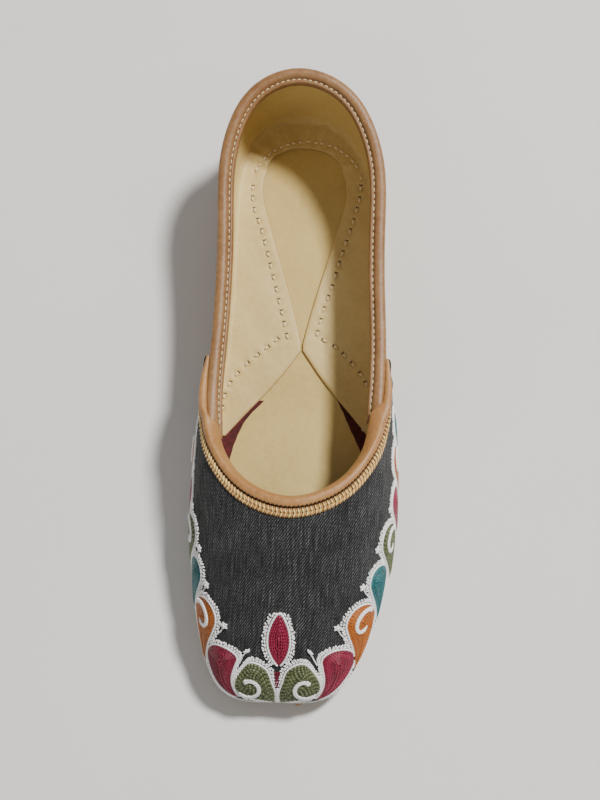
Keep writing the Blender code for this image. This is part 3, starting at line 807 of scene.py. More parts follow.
def outline(shape, d):
    """The line at distance d outside the shape's edge, from the tail round the head and back."""
    c, r = shape["c"], shape["r"] + d
    ok = r > 0.05
    if ok.sum() < 4:
        return None
    c, r = c[ok], r[ok]
    tan = unit(np.gradient(c, axis=0))
    n = np.stack([-tan[:, 1], tan[:, 0]], -1)
    left, right = c + n * r[:, None], c - n * r[:, None]
    parts = [left]
    if shape is not LEAF:
        a0 = math.atan2(n[-1, 1], n[-1, 0])
        a = a0 - np.linspace(0.0, math.pi, max(5, int(r[-1] * 8)))[1:-1]
        parts.append(c[-1] + r[-1] * np.stack([np.cos(a), np.sin(a)], -1))
    parts.append(right[::-1])
    return np.concatenate(parts)


def room(points, shape, also=()):
    """Distance outside all the other shapes."""
    best = np.full(len(points), 99.0)
    for other in SHAPES:
        if other is shape:
            continue
        if np.abs(other["head"][0] - shape["head"][0]) > 40:
            continue
        d = np.linalg.norm(points[:, None] - other["c"][None], axis=-1) - other["r"][None]
        best = np.minimum(best, d.min(1))
    return best


def runs(keep):
    """Start and end of each run of kept points."""
    k = np.concatenate([[0], keep.astype(int), [0]])
    d = np.diff(k)
    return list(zip(np.nonzero(d == 1)[0], np.nonzero(d == -1)[0]))


FILL = {k: Build() for k in ("green", "magenta", "orange", "teal")}
white = Build()
STYLE = {"magenta": (0.74, 1.25, 0.18), "orange": (0.78, 1.3, 0.2), "teal": (0.74, 1.25, 0.18), "green": (1.02, 1.75, 0.34)}


def lane(points, shape, d, colour_style, builder):
    spacing, link, swell = colour_style
    pts = evenly(points, 0.36 if spacing < 0.9 else 0.42)
    l = along(pts)
    wave = rng.uniform(0, 6.28)
    pts = pts + (0.05 * np.sin(l * 2.1 + wave))[:, None] * np.stack([np.cos(l), np.sin(l)], -1)
    depth = np.clip(-d / shape["R"], 0.0, 1.0)
    h = 0.22 + 0.55 * math.sqrt(depth) * smooth(0.0, 3.0, l) * smooth(0.0, 3.0, l[-1] - l)
    beat = np.cos(2 * math.pi * l / link + wave)
    k = spacing * 0.56 * (1.0 + swell * beat)
    p, nrm = on_cloth(pts, h)
    # each link lighter at its bulge and darker at its waist: painted highlight and painted shade; the random part is
    # row to row and point to point difference
    tone = 0.5 + 0.32 * beat + rng.normal(0.0, 0.13) + 0.12 * rng.normal(size=len(l))
    add_thread(builder, p, nrm, k, k * 0.95, 6, tone)


def swirl_line(shape):
    """The comma inside a swirl petal, from the tail's side round the head's middle."""
    side, r = shape["side"], shape["R"]
    hx, hy = shape["head"]
    if abs(hx) < 20:        # the two front ones open outward, and run on along the base
        a = np.radians(np.linspace(48.0, 325.0, 46))
        k = np.linspace(0.44, 0.60, 46) * r
        x, y = 0.9 + k * np.cos(a), -2.9 + k * 0.96 * np.sin(a)
        return np.stack([hx + side * x, hy + y], -1)
    a = np.radians(np.linspace(-8.0, 262.0, 46))
    k = np.linspace(0.74, 0.40, 46) * r
    x, y = 0.2 + k * 1.12 * np.cos(a), -0.3 + k * 0.80 * np.sin(a)
    return np.stack([hx + side * x, hy + y], -1)


for shape in SHAPES:
    style = STYLE[shape["colour"]]
    d = -style[0] * 0.5
    while True:
        line = outline(shape, d)
        if line is None or -d > shape["R"] - 0.1:
            break
        if along(line)[-1] > 1.6:
            lane(line, shape, d, style, FILL[shape["colour"]])
        d -= style[0]
    mid_row = shape["c"][shape["r"] > style[0] * 0.45]
    mid_row = mid_row[: int(len(mid_row) * (1.0 if shape is LEAF else 0.97))]
    q = evenly(mid_row, 0.36)
    l = along(q)
    beat = np.cos(2 * math.pi * l / style[1])
    p, nrm = on_cloth(q, 0.34 + 0.40 * smooth(0.0, 4.0, l) * smooth(0.0, 1.5, l[-1] - l))
    # tone with the links' beat: painted highlight on each bulge, painted shade at each waist
    add_thread(FILL[shape["colour"]], p, nrm, style[0] * 0.62 * (1 + style[2] * beat), style[0] * 0.5, 6, 0.45 + 0.3 * beat)
    if shape["swirl"]:
        pts = evenly(swirl_line(shape), 0.35)
        l = along(pts)
        end = np.minimum(l, l[-1] - l)
        big = 0.30 + 0.42 * smooth(0.0, 2.2, l[-1] - l) * (0.55 + 0.45 * smooth(0.0, 1.5, l)) + 0.32 * np.exp(-((l - 0.7) / 0.9) ** 2)
        for off_, sc in ((-0.36, 0.66), (0.36, 0.66)):
            tan = unit(np.gradient(pts, axis=0))
            q = pts + np.stack([-tan[:, 1], tan[:, 0]], -1) * (off_ * big / 0.72)[:, None]
            p, nrm = on_cloth(q, 1.05)
            beat = np.cos(2 * math.pi * l / 1.2 + off_ * 4)
            # tone with the links' beat: painted highlight on each bulge, painted shade at each waist
            add_thread(white, p, nrm, big * sc * (1 + 0.18 * beat), big * sc * (1 + 0.18 * beat), 6, 0.55 + 0.3 * beat)

# white edging: a chain on the outline, a broken chain outside it, and short picots
for shape in SHAPES:
    line = outline(shape, 0.5)
    pts = evenly(line, 0.36)
    keep = room(pts, shape) > 0.1
    for a, z in runs(keep):
        if z - a < 5:
            continue
        q = pts[a:z]
        l = along(q)
        beat = np.cos(2 * math.pi * l / 1.15)
        p, nrm = on_cloth(q, 0.42)
        # tone with the links' beat: painted highlight on each bulge, painted shade at each waist
        add_thread(white, p, nrm, 0.44 * (1 + 0.2 * beat), 0.42 * (1 + 0.2 * beat), 5, 0.5 + 0.35 * beat)
    # stitches of the second row
    line = outline(shape, 1.5)
    l = along(line)
    starts = np.arange(0.6, l[-1] - 1.0, 1.55)
    starts = starts + rng.uniform(-0.12, 0.12, len(starts))
    t5 = np.linspace(0.0, 1.0, 5)
    ll = starts[:, None] + t5 * 0.98
    x = np.interp(ll, l, line[:, 0])
    y = np.interp(ll, l, line[:, 1])
    pts = np.stack([x, y], -1).reshape(-1, 2)
    ok = (room(pts, shape) > 0.7).reshape(x.shape).all(1) & (y.min(1) > 2.0)
    if ok.any():
        pts = pts.reshape(-1, 5, 2)[ok].reshape(-1, 2)
        p, nrm = on_cloth(pts, np.tile(0.12 + 0.34 * np.sin(math.pi * t5), ok.sum()))
        k = ok.sum()
        # tone highest at each stitch's middle: painted highlight; lower at its ends: painted shade; plus stitch to
        # stitch difference
        add_tubes(white, p.reshape(k, 5, 3), nrm.reshape(k, 5, 3), np.full((k, 5), 0.40) * (0.7 + 0.3 * np.sin(math.pi * t5)),
                  np.full((k, 5), 0.36), 5, np.broadcast_to(0.3 + 0.5 * np.sin(math.pi * t5), (k, 5)) + rng.normal(0, 0.12, (k, 1)))
    # outer row: short stitches at mixed angles, with the ground showing between them
    line = outline(shape, 2.25)
    l = along(line)
    starts = np.arange(0.3, l[-1] - 0.8, 1.22)
    starts = starts + rng.uniform(-0.2, 0.2, len(starts))
    cx, cy = np.interp(starts + 0.45, l, line[:, 0]), np.interp(starts + 0.45, l, line[:, 1])
    ex, ey = np.interp(starts + 0.55, l, line[:, 0]) - np.interp(starts + 0.35, l, line[:, 0]), \
        np.interp(starts + 0.55, l, line[:, 1]) - np.interp(starts + 0.35, l, line[:, 1])
    ang = np.arctan2(ey, ex) + rng.choice([-1.0, 1.0], len(starts)) * rng.uniform(0.25, 1.15, len(starts))
    push = rng.uniform(-0.28, 0.34, len(starts))
    nx_, ny_ = np.cos(np.arctan2(ey, ex) + math.pi / 2), np.sin(np.arctan2(ey, ex) + math.pi / 2)
    half_ = rng.uniform(0.36, 0.56, len(starts))
    tt = np.linspace(-1.0, 1.0, 5)
    pts = np.stack([(cx + nx_ * push)[:, None] + np.cos(ang)[:, None] * half_[:, None] * tt,
                    (cy + ny_ * push)[:, None] + np.sin(ang)[:, None] * half_[:, None] * tt], -1)
    ok = (room(pts.reshape(-1, 2), shape) > 0.7).reshape(-1, 5).all(1) & (pts[..., 1].min(1) > 2.6)
    if ok.any():
        pts = pts[ok]
        k = len(pts)
        bow = np.sin(math.pi * (tt + 1) / 2)
        p, nrm = on_cloth(pts.reshape(-1, 2), np.tile(0.10 + 0.34 * bow, k))
        w = 0.26 + 0.14 * bow
        # tone highest at each stitch's middle: painted highlight; lower at its ends: painted shade; plus stitch to
        # stitch difference
        add_tubes(white, p.reshape(k, 5, 3), nrm.reshape(k, 5, 3), np.broadcast_to(w, (k, 5)), np.broadcast_to(w * 0.95, (k, 5)), 5,
                  np.broadcast_to(0.35 + 0.4 * bow, (k, 5)) + rng.normal(0, 0.12, (k, 1)))

# sprigs: a knot on a thin stem that leaves the gap between two petals
KNOTS = [(25.0, 28.0), (44.0, 29.0), (63.0, 29.0), (79.0, 28.8), (96.0, 26.2), (112.0, 25.6), (127.5, 24.6),
         (-28.5, 28.5), (-44.0, 27.8), (-61.5, 26.2), (-76.0, 26.5), (-93.5, 24.6), (-109.5, 24.0), (-125.0, 23.4)]
for kx, ky in KNOTS:
    side = math.copysign(1.0, kx)
    stem = curve([(kx, ky), (kx - side * 1.5, ky - 2.6), (kx - side * 2.4, ky - 6.6)], 14)
    p, nrm = on_cloth(stem, 0.28)
    add_thread(white, p, nrm, 0.27, 0.27, 5, 0.45)
    for q in range(5):
        a = 2 * math.pi * q / 5 + 0.4
        loop_ = np.array([(kx + 1.25 * math.cos(a + w_) * k_, ky + 1.25 * math.sin(a + w_) * k_)
                          for w_, k_ in ((-0.35, 0.25), (-0.2, 0.8), (0.0, 1.1), (0.2, 0.8), (0.35, 0.25))])
        p, nrm = on_cloth(loop_, 0.42)
        add_thread(white, p, nrm, 0.40, 0.40, 5, 0.6)
    p, nrm = on_cloth(np.array([(kx - 0.3, ky), (kx, ky), (kx + 0.3, ky)]), 0.75)
    add_thread(white, p, nrm, 0.42, 0.36, 6, 0.75)

# cord from the leaf down to the notch, the base cord by the feather line, and a small red-brown bar between the swirls
p, nrm = on_cloth(evenly(np.array([(0.2, 11.6), (0.05, 8.6), (0.0, 2.8)]), 0.35), 0.45)
l = along(p)
# tone with the cord's beat: painted highlight on each bulge
add_thread(white, p, nrm, 0.62 * (1 + 0.16 * np.cos(l * 5.2)), 0.5, 6, 0.5 + 0.3 * np.cos(l * 5.2))
base = evenly(np.stack([np.linspace(-146.0, 146.0, 400), np.full(400, 2.3)], -1), 0.4)
p, nrm = on_cloth(base, 0.38)
l = along(p)
beat = np.cos(2 * math.pi * l / 1.3)
# tone with the cord's beat: painted highlight on each bulge
add_thread(white, p, nrm, 0.42 * (1 + 0.2 * beat), 0.4 * (1 + 0.2 * beat), 5, 0.45 + 0.3 * beat)
for x in (-0.8, 0.0, 0.8):
    pts = evenly(np.array([(x + 0.2, 19.2), (x * 0.6, 15.6), (x * 0.3, 12.4)]), 0.4)
    p, nrm = on_cloth(pts, 0.4)
    add_thread(FILL["magenta"], p, nrm, 0.42, 0.4, 6, 0.15)

for key, mat in (("green", GREEN), ("magenta", MAGENTA), ("orange", ORANGE), ("teal", TEAL)):
    FILL[key].done("embroidery_" + key, [mat], "braid_thread")
white.done("embroidery_white", [WHITE], "braid_thread")

# ------------------------------------------------------------------ the upper: leather quarter, beige quarter lining, maroon vamp lining
n_u = 420
us = np.arange(n_u) * LOOP_ROWS / n_u
vs = np.linspace(0.0, 1.0, 45)
UU, VV = np.meshgrid(us, vs, indexing="ij")
away = np.abs(((UU + HALF_ROWS) % LOOP_ROWS) - HALF_ROWS)
uq_top, uq_low = u_where_top_is(112.0), u_where_top_is(112.0) - 0.35
lining_from = uq_low + (uq_top - uq_low) * VV
beige = smooth(0.0, 0.09, away - lining_from)
wrinkle = np.zeros_like(UU)
for at, size, wide, tilt in ((9.3, 0.28, 0.13, 0.5), (10.1, -0.22, 0.16, -0.4), (11.2, 0.24, 0.15, 0.3), (12.4, -0.2, 0.2, -0.5),
                             (13.4, 0.22, 0.16, 0.4), (14.3, -0.18, 0.18, 0.0)):
    wrinkle = wrinkle + size * np.exp(-((away - at - tilt * (VV - 0.5)) / wide) ** 2) * smooth(0.05, 0.3, VV) * smooth(0.95, 0.7, VV)
outer = upper_point(UU, VV, 0.0 + 0.5 * wrinkle * smooth(8.0, 9.0, away))
inner = upper_point(UU, VV, -(WALL * (0.75 + 0.25 * smooth(0.0, 0.06, VV))) + 0.55 * (1 - beige) + 0.45 * wrinkle * beige)
b = Build()
mid_away = (away[:, :-1] + np.roll(away, -1, 0)[:, :-1]) / 2
face_beige = (mid_away > lining_from[:, :-1] + 0.03)
add_sheet(b, outer, inner, wrap=True, mat=0, inner_mat=np.where(face_beige, 1, 2).ravel())
b.done("upper_shell", [QUARTER, BEIGE, MAROON], "lining_leather", ["upper"])


# ------------------------------------------------------------------ bindings
def edge_points(u, off, depth):
    """Points beside the top edge: off along the normal, depth down the surface, or above the edge where negative."""
    crest = upper_point(u, 1.0)
    back = upper_point(u, 0.98)
    up = unit(crest - back)
    speed = np.linalg.norm(crest - back, axis=-1) / 0.02
    nrm = upper_point(u, 1.0, 1.0) - crest
    down = upper_point(u[:, None], 1.0 - np.maximum(depth, 0.0) / speed[:, None], off + 1e-6)
    over = crest[:, None] + nrm[:, None] * off[..., None] - up[:, None] * depth[..., None]
    return np.where((depth > 0)[..., None], down, over)


collar_from, collar_to = 6.85, LOOP_ROWS - 6.25
us = np.linspace(collar_from, collar_to, 520)
end = np.minimum(us - collar_from, collar_to - us)
grow = (0.55 + 0.45 * smooth(0.0, 0.8, end))[:, None]
crest_l = along(upper_point(us, 1.0))
pucker = 0.5 + 0.5 * np.cos(2 * math.pi * crest_l / 2.6)
# profile rows: offset, depth, tone; the tone darkens the groove the stitches run in, painted shade, and darkens the
# inner flange's lower end
prof = [(0.08, 3.75, 0), (0.62, 3.72, 0), (0.95, 3.35, 0), (1.10, 2.5, 0), (1.14, 1.5, 0), (1.12, 0.6, 0)]
for a in np.linspace(0.12, 2.5, 13):
    prof.append((-1.08 + 2.20 * math.cos(a), -(0.28 + 1.60 * math.sin(a)), 0))
prof += [(-3.20, -0.75, 0.1), (-3.48, -0.22, 0.6), (-3.66, 0.0, 1.0), (-3.84, -0.12, 0.8), (-4.05, -0.28, 0.15), (-4.45, -0.32, 0), (-4.85, -0.08, 0),
         (-5.15, 0.45, 0), (-5.28, 1.2, 0), (-5.18, 2.2, 0), (-4.75, 3.3, 0), (-4.1, 4.3, 0.2), (-3.3, 5.2, 0.5), (-2.6, 5.68, 0.8), (-2.38, 4.0, 0),
         (-1.0, 0.6, 0), (0.05, 1.6, 0)]
prof = np.array(prof)
off = np.broadcast_to(prof[:, 0], (len(us), len(prof))).copy()
dep = prof[:, 1] * np.where(prof[:, 1] > 0, grow, 1.0)
dep = dep + 0.10 * pucker[:, None] * ((prof[:, 2] > 0.2) & (prof[:, 1] < 1.0))
# towards its two ends it flattens and runs on inside the throat roll
flat = (1.0 - smooth(0.0, 0.45, end))[:, None]
off = np.where(off > -2.2, off * (1 - flat) + (-2.3 + 0.25 * (off + 2.3)) * flat, off)
dep = dep + flat * 1.5 * (dep < 1.0)
rings = edge_points(us, off, dep)
b = Build()
uvs = np.stack([np.broadcast_to(crest_l[:, None], dep.shape), dep], -1)
add_loft(b, rings, tone=np.broadcast_to(prof[:, 2] * 0.55, dep.shape), uv=uvs)
b.done("collar_roll", [COLLAR], "tan_leather", ["collar_binding"])

# its running stitches
b = Build()
pitch = 2.6
starts = np.arange(1.5, crest_l[-1] - 2.5, pitch)
t5 = np.linspace(0, 1, 6)
ll = starts[:, None] + 1.75 * t5
uu = np.interp(ll, crest_l, us)


def on_collar(uu, off, rise):
    crest = upper_point(uu, 1.0)
    up = unit(crest - upper_point(uu, 0.98))
    nrm = upper_point(uu, 1.0, 1.0) - crest
    f = 1.0 - smooth(0.0, 0.45, np.minimum(uu - collar_from, collar_to - uu))
    return crest + nrm * off + up * (rise - 1.5 * f)[..., None], up


# tone highest at each stitch's middle: painted highlight; lower at its ends: painted shade
c, nn = on_collar(uu, -3.66, -0.12 + 0.28 * np.sin(math.pi * t5) + 0 * uu)
add_tubes(b, c, nn, np.full(uu.shape, 0.24), np.full(uu.shape, 0.22), 6, np.broadcast_to(0.3 + 0.5 * np.sin(math.pi * t5), uu.shape))
# dark tubes at the start of each stitch: painted shade where the thread goes into the leather
dark = Build()
ends_l = np.stack([starts - 0.12, starts + 0.06], 1)
uu = np.interp(ends_l, crest_l, us)
c, nn = on_collar(uu, -3.66, np.full(uu.shape, 0.0))
add_tubes(dark, c, nn, np.full(uu.shape, 0.24), np.full(uu.shape, 0.14), 6)
# and the same seam on the outside of the collar
ll = starts[:, None] + 1.75 * t5
uu = np.interp(ll, crest_l, us)
gg = np.interp(uu, us, grow[:, 0])
ok = (np.minimum(uu, LOOP_ROWS - uu) > WING + 0.08).all(1)
uu, gg = uu[ok], gg[ok]
crest = upper_point(uu, 1.0)
speed = np.linalg.norm(crest - upper_point(uu, 0.98), axis=-1) / 0.02
vv = 1.0 - 2.9 * gg / speed
hh = (1.10 + 0.14 * np.sin(math.pi * t5)) + 0 * vv
c = upper_point(uu, vv, hh)
nn = unit(upper_point(uu, vv, hh + 1.0) - c)
# tone highest at each stitch's middle: painted highlight; lower at its ends: painted shade
add_tubes(b, c, nn, np.full(vv.shape, 0.24), np.full(vv.shape, 0.2), 6, np.broadcast_to(0.3 + 0.4 * np.sin(math.pi * t5), vv.shape))
b.done("collar_stitches", [CREAM], "braid_thread")

# throat roll, puckered along its row of stitch holes
us = np.linspace(-WING, WING, 1100)
au = np.abs(us)
lone_at = np.where(us > 0, 6.95, 6.35)         # the collar's end runs on further inside on the inner side
short, lone = smooth(4.7, 5.5, au), smooth(0.0, 0.5, au - lone_at)
tail = 1.0 - 0.42 * smooth(6.3, WING - 0.1, au)
tail = tail * np.sqrt(np.clip(1.0 - (np.clip(au - (WING - 0.55), 0.0, 0.55) / 0.56) ** 2, 0.03, 1.0))
tail = tail[:, None]
low = lift(us, np.ones_like(us))
high = (low + COVER - 1.15 * smooth(WING - 0.75, WING, au))[:, None]       # drawn in to a narrow tip
inn = (-(WALL + 0.12) * (1.0 - lone) + (1.0 + 1.12 * tail[:, 0]) * lone)[:, None]
d_in = np.maximum(2.8 * (1.0 - short) - 0.5 * short, -0.5)[:, None]
mid_line = upper_point(us, np.full_like(us, 0.93), 2.0)
thr_l = along(mid_line)
thr_l = thr_l - np.interp(0.0, us, thr_l)
PITCH = 1.75
hole = (0.5 + 0.5 * np.cos(2 * math.pi * thr_l / PITCH))[:, None]
one = np.ones((len(us), 1))
cols = [(high + 0.06, 2.20 * tail - 0.18 * hole), (high + (0.50 - 0.2 * hole) * tail, 2.26 * tail - 0.26 * hole),
        (high + (0.92 - 0.25 * hole) * tail, 2.10 * tail - 0.20 * hole), (high + (1.16 - 0.06 * hole) * tail, 1.84 * tail), (high + 1.30 * tail, 1.5 * tail),
        (high + 1.40 * tail, 1.1 * tail), (high + 1.42 * tail, 0.7 * tail), (high + 1.38 * tail, 0.35 * tail)]
half, midd = (high - inn) / 2 + 1.22 * tail, (high + inn) / 2 + 0.12 * tail
for a in np.linspace(0.14, math.pi - 0.14, 13):
    cols.append((midd + half * math.cos(a), -(0.30 + 1.72 * tail * math.sin(a))))
cols += [(inn - 1.12 * tail, np.minimum(0.5, d_in * 0.4) * one), (inn - 1.15 * tail, d_in * 0.6), (inn - 1.05 * tail, d_in * 0.85),
         (inn - 0.75 * tail, d_in * 1.0), (inn - 0.2, d_in * 1.0), (inn * 0.5 + high * 0.5, np.minimum(-0.15, d_in) * one)]
off = np.concatenate([np.broadcast_to(c_[0], (len(us), 1)) for c_ in cols], 1)
dep = np.concatenate([np.broadcast_to(c_[1], (len(us), 1)) for c_ in cols], 1)
rings = edge_points(us, off, dep)
# tone: darker along the outer flange's lower rows, and beside each stitch hole a darker patch, painted shade of its
# pucker
shade = np.zeros_like(dep)
shade[:, :2] = 0.75
shade[:, 2] = 0.45 + 0.4 * hole[:, 0]
shade[:, 3] = 0.12 * hole[:, 0]
b = Build()
add_loft(b, rings, tone=shade, uv=np.stack([np.broadcast_to(thr_l[:, None], dep.shape), dep], -1))
b.done("throat_roll", [TAN], "tan_leather", ["throat_binding"])

# whipped braid beside it
braid_to = u_where_top_is(119.0)
L_END = np.interp(braid_to, us, thr_l)


def band(l, depth, h):
    """Length along the throat, depth below its edge, height over the cloth, to a point and its normal."""
    u = np.interp(l, thr_l, us)
    crest = upper_point(u, 1.0)
    speed = np.linalg.norm(crest - upper_point(u, 0.98), axis=-1) / 0.02
    v = 1.0 - depth / speed
    o = lift(u, v) + COVER
    c = upper_point(u, v, o + h)
    return c, unit(upper_point(u, v, o + h + 1.0) - c)


b = Build()
units = np.arange(-math.floor(L_END / PITCH), math.floor(L_END / PITCH) + 1) * PITCH
fade = 1.0 - 0.5 * smooth(L_END - 16.0, L_END, np.abs(units))
t7 = np.linspace(0.0, 1.0, 7)
jit = rng.normal(0, 0.05, (len(units), 1))


def strand(l0, d0, l1, d1, wide, rise, tone_lo, tone_hi, mat, t=t7):
    l = units[:, None] + l0 + (l1 - l0) * t + jit
    depth = 4.35 + (d0 + (d1 - d0) * t - 6.3) * 1.04 * fade[:, None] - 1.4 * (1 - fade[:, None])
    h = (0.12 + rise * np.sin(math.pi * np.clip(0.08 + 0.84 * t, 0, 1))) * fade[:, None]
    c, nrm = band(l, depth, h)
    w = wide * fade[:, None] * (0.75 + 0.25 * np.sin(math.pi * t))
    # tone rises to each strand's middle: painted highlight on its crest, painted shade at its ends
    tone = tone_lo + (tone_hi - tone_lo) * np.sin(math.pi * t) + rng.normal(0, 0.12, (len(units), 1))
    add_tubes(b, c, nrm, np.broadcast_to(w, l.shape), np.broadcast_to(w * 0.92, l.shape), 6, np.broadcast_to(tone, l.shape), mat)


# the two thinner, lower strands of each unit keep a lower tone: painted shade
strand(-0.10, 4.75, 0.62, 6.75, 0.42, 0.85, 0.15, 1.05, 0)
strand(0.74, 4.85, 1.42, 6.60, 0.32, 0.48, 0.0, 0.35, 0)
strand(0.62, 6.35, -0.18, 8.00, 0.40, 0.74, 0.15, 0.85, 0)
strand(1.46, 6.30, 0.70, 7.95, 0.32, 0.45, 0.0, 0.35, 0)
# dark bed under the strands: painted shade in the gaps between them
bed_l = np.linspace(-L_END, L_END, 500)
bed = []
for d0, h0 in ((4.5, 0.02), (4.5, 0.30), (5.4, 0.42), (6.4, 0.45), (7.4, 0.40), (8.0, 0.22), (8.1, 0.02)):
    ff = 1.0 - 0.5 * smooth(L_END - 16.0, L_END, np.abs(bed_l))
    c, _ = band(bed_l, 4.35 + (d0 - 6.3) * 1.04 * ff - 1.4 * (1 - ff), h0 * ff + 0 * bed_l)
    bed.append(c)
add_loft(b, np.stack(bed, 1), mat=1)
b.done("throat_whipping", [GOLD, WHIP_GAP_SHADE], "braid_thread", ["throat_braid"])
# stitch holes at the roll's edge: dark tubes, painted shade of the holes
t3 = np.linspace(0, 1, 4)
l = units[:, None] + PITCH * 0.02 + 0 * t3
tl = np.interp(np.interp(units, thr_l, us), us, tail[:, 0])[:, None]
c, nrm = band(l, (1.72 + 0.72 * t3) * tl, (1.22 - 0.55 * t3) * tl + 0 * l)
add_tubes(dark, c, nrm, np.full(l.shape, 0.27), np.full(l.shape, 0.18), 6)


# ------------------------------------------------------------------ footbed, turned-in quarter leather and its stitches
def slab(b, outline_xs, inset_profile, mat_side=0, mat_top=0, mat_low=0, tone_rows=None):
    """A plate from a closed outline (n, 2) in the shoe's x and s that is symmetric about index 0 and n/2.
    inset_profile: rows (inset, z function of s, tone), from the underside's inside round the edge to the top's."""
    n = len(outline_xs)
    tan = unit(np.roll(outline_xs, -1, 0) - np.roll(outline_xs, 1, 0))
    inward = np.stack([-tan[:, 1], tan[:, 0]], -1)
    if (inward * (outline_xs.mean(0) - outline_xs)).sum(1).mean() < 0:
        inward = -inward
    rows, tones = [], []
    for inset, zf, tone in inset_profile:
        q = outline_xs + inward * inset
        rows.append(place(q[:, 0], q[:, 1], zf(q[:, 1])))
        tones.append(np.full(n, tone))
    g = np.stack(rows, 1)
    k = g.shape[1]
    side = grid_faces(n, k, wrap_i=True)
    a = np.arange(n * k).reshape(n, k)
    h = n // 2
    i = np.arange(0, h)
    lo = np.stack([a[i, 0], a[(n - i) % n, 0], a[(n - i - 1) % n, 0], a[i + 1, 0]], -1)
    hi = np.stack([a[i, -1], a[i + 1, -1], a[(n - i - 1) % n, -1], a[(n - i) % n, -1]], -1)

    def clean(f):
        out4 = f[(f[:, 0] != f[:, 3]) & (f[:, 1] != f[:, 2]) & (f[:, 0] != f[:, 1]) & (f[:, 2] != f[:, 3])]
        rest = f[~((f[:, 0] != f[:, 3]) & (f[:, 1] != f[:, 2]) & (f[:, 0] != f[:, 1]) & (f[:, 2] != f[:, 3]))]
        tri = []
        for r in rest:
            keep = [x for j, x in enumerate(r) if x not in r[:j]]
            if len(keep) == 3:
                tri.append(keep)
        return out4, np.array(tri, int).reshape(-1, 3)

    lo4, lo3 = clean(lo)
    hi4, hi3 = clean(hi)
    faces = [side, lo4, lo3, hi4, hi3]
    mats = np.concatenate([np.full(len(side), mat_side), np.full(len(lo4), mat_low), np.full(len(lo3), mat_low),
                           np.full(len(hi4), mat_top), np.full(len(hi3), mat_top)])
    b.v.append(g.reshape(-1, 3))
    start = 0
    for f in faces:
        if len(f):
            b.f.append(f + b.n)
            b.m.append(mats[start:start + len(f)])
        start += len(f)
    b.tone.append(np.stack(tones, 1).ravel())
    b.uv.append(g.reshape(-1, 3)[:, :2])
    b.n += n * k


N_OUT = 480
u_all = np.arange(N_OUT) * LOOP_ROWS / N_OUT


def z_in(h):
    return lambda s: sole_top(s) + GAP + h


b = Build()
slab(b, seat_point(u_all, -(WALL - 0.35)), [(4.0, z_in(0.0), 0), (0.4, z_in(0.0), 0), (0.05, z_in(0.3), 0), (0.0, z_in(1.0), 0),
                                           (0.1, z_in(1.7), 0), (0.5, z_in(2.0), 0), (1.2, z_in(2.05), 0), (4.0, z_in(2.05), 0)])
b.done("footbed", [FOOTBED], "lining_leather", ["insole"])

# stitch rows: (x from the middle line, distance from the toe)
ROWS = (
    [(-21.9, 213.0), (-21.6, 205.5), (-19.4, 198.6), (-15.9, 187.0), (-12.9, 175.6), (-9.8, 163.5), (-6.1, 148.6)],
    [(23.8, 218.5), (23.2, 210.5), (21.6, 203.0), (18.3, 191.7), (15.0, 180.7), (11.9, 169.7), (8.6, 159.6), (6.2, 150.0)],
    [(-10.8, 147.1), (-15.4, 143.1), (-20.1, 139.3), (-24.2, 135.2), (-28.0, 130.4), (-30.6, 124.8), (-31.6, 118.0)],
    [(9.4, 147.2), (15.0, 143.8), (19.3, 139.6), (22.9, 135.8), (26.2, 131.0), (28.9, 126.0), (31.0, 119.5)],
    [(-20.4, 221.5), (-15.0, 228.6), (-7.0, 233.0), (2.0, 234.6), (11.0, 232.8), (18.0, 228.6), (22.0, 223.5)],
)
beads, bead_dirs = [], []
for row, step in zip(ROWS, (5.25, 5.25, 5.6, 5.5, 3.1)):
    line = curve(row, 200)
    l = along(line)
    at = np.linspace(0.0, l[-1], int(round(l[-1] / step)) + 1)
    at[1:-1] += rng.uniform(-0.35, 0.35, len(at) - 2)
    x = np.interp(at, l, line[:, 0])
    y = np.interp(at, l, line[:, 1])
    x2, y2 = np.interp(at + 0.5, l, line[:, 0]), np.interp(at + 0.5, l, line[:, 1])
    x1, y1 = np.interp(at - 0.5, l, line[:, 0]), np.interp(at - 0.5, l, line[:, 1])
    beads.append(np.stack([x, y], -1))
    bead_dirs.append(unit(np.stack([x2 - x1, y2 - y1], -1)))
BEADS, BEAD_DIRS = np.concatenate(beads), np.concatenate(bead_dirs)
BEAD_DIRS = BEAD_DIRS * np.where(BEAD_DIRS[:, 1:] > 0, 1.0, -1.0)      # towards the heel, where each slit is

hole_w, front_w = open_spline(KEYHOLE), open_spline(sorted(FLAP_FRONT))
wall_off = -(WALL + 0.12)


def u_at_wall(s):
    lo, hi = 4.0, float(HALF_ROWS)
    for _ in range(40):
        mid = (lo + hi) / 2
        if seat_point(mid, wall_off)[1] < s:
            lo = mid
        else:
            hi = mid
    return (lo + hi) / 2


ribs = []        # wall u, edge x, edge s
side_s = np.concatenate([np.linspace(106.5, 143.0, 46), np.linspace(143.6, 217.0, 86)])
for s in side_s:
    edge = float(hole_w(s)) if s > 145.9 else max(0.35, float(front_w(s)))
    if 143.0 < s < 146.0:
        edge = 0.35
    ribs.append((u_at_wall(s), edge, s))
turn_from = u_at_wall(221.0)
mid_s, half_w, reach = KEYHOLE_END
turn = []
for t in np.linspace(0.0, 1.0, 61):
    turn.append((turn_from + 2.0 * (HALF_ROWS - turn_from) * t, half_w * math.cos(math.pi * t), mid_s + reach * math.sin(math.pi * t)))
left = [(LOOP_ROWS - u, -x, s) for u, x, s in reversed(ribs)]
RIB = np.array(ribs + turn + left)
Z_LOW = GAP + INSOLE_THICK + 0.08            # over the sole's top
Z_TOP = Z_LOW + FLAP_THICK
R_F = 1.5
vt = np.linspace(0.0, 0.6, 31)
wall_pts = upper_point(RIB[:, :1], vt[None], wall_off)
edge_p = np.stack([RIB[:, 1], RIB[:, 2]], -1)


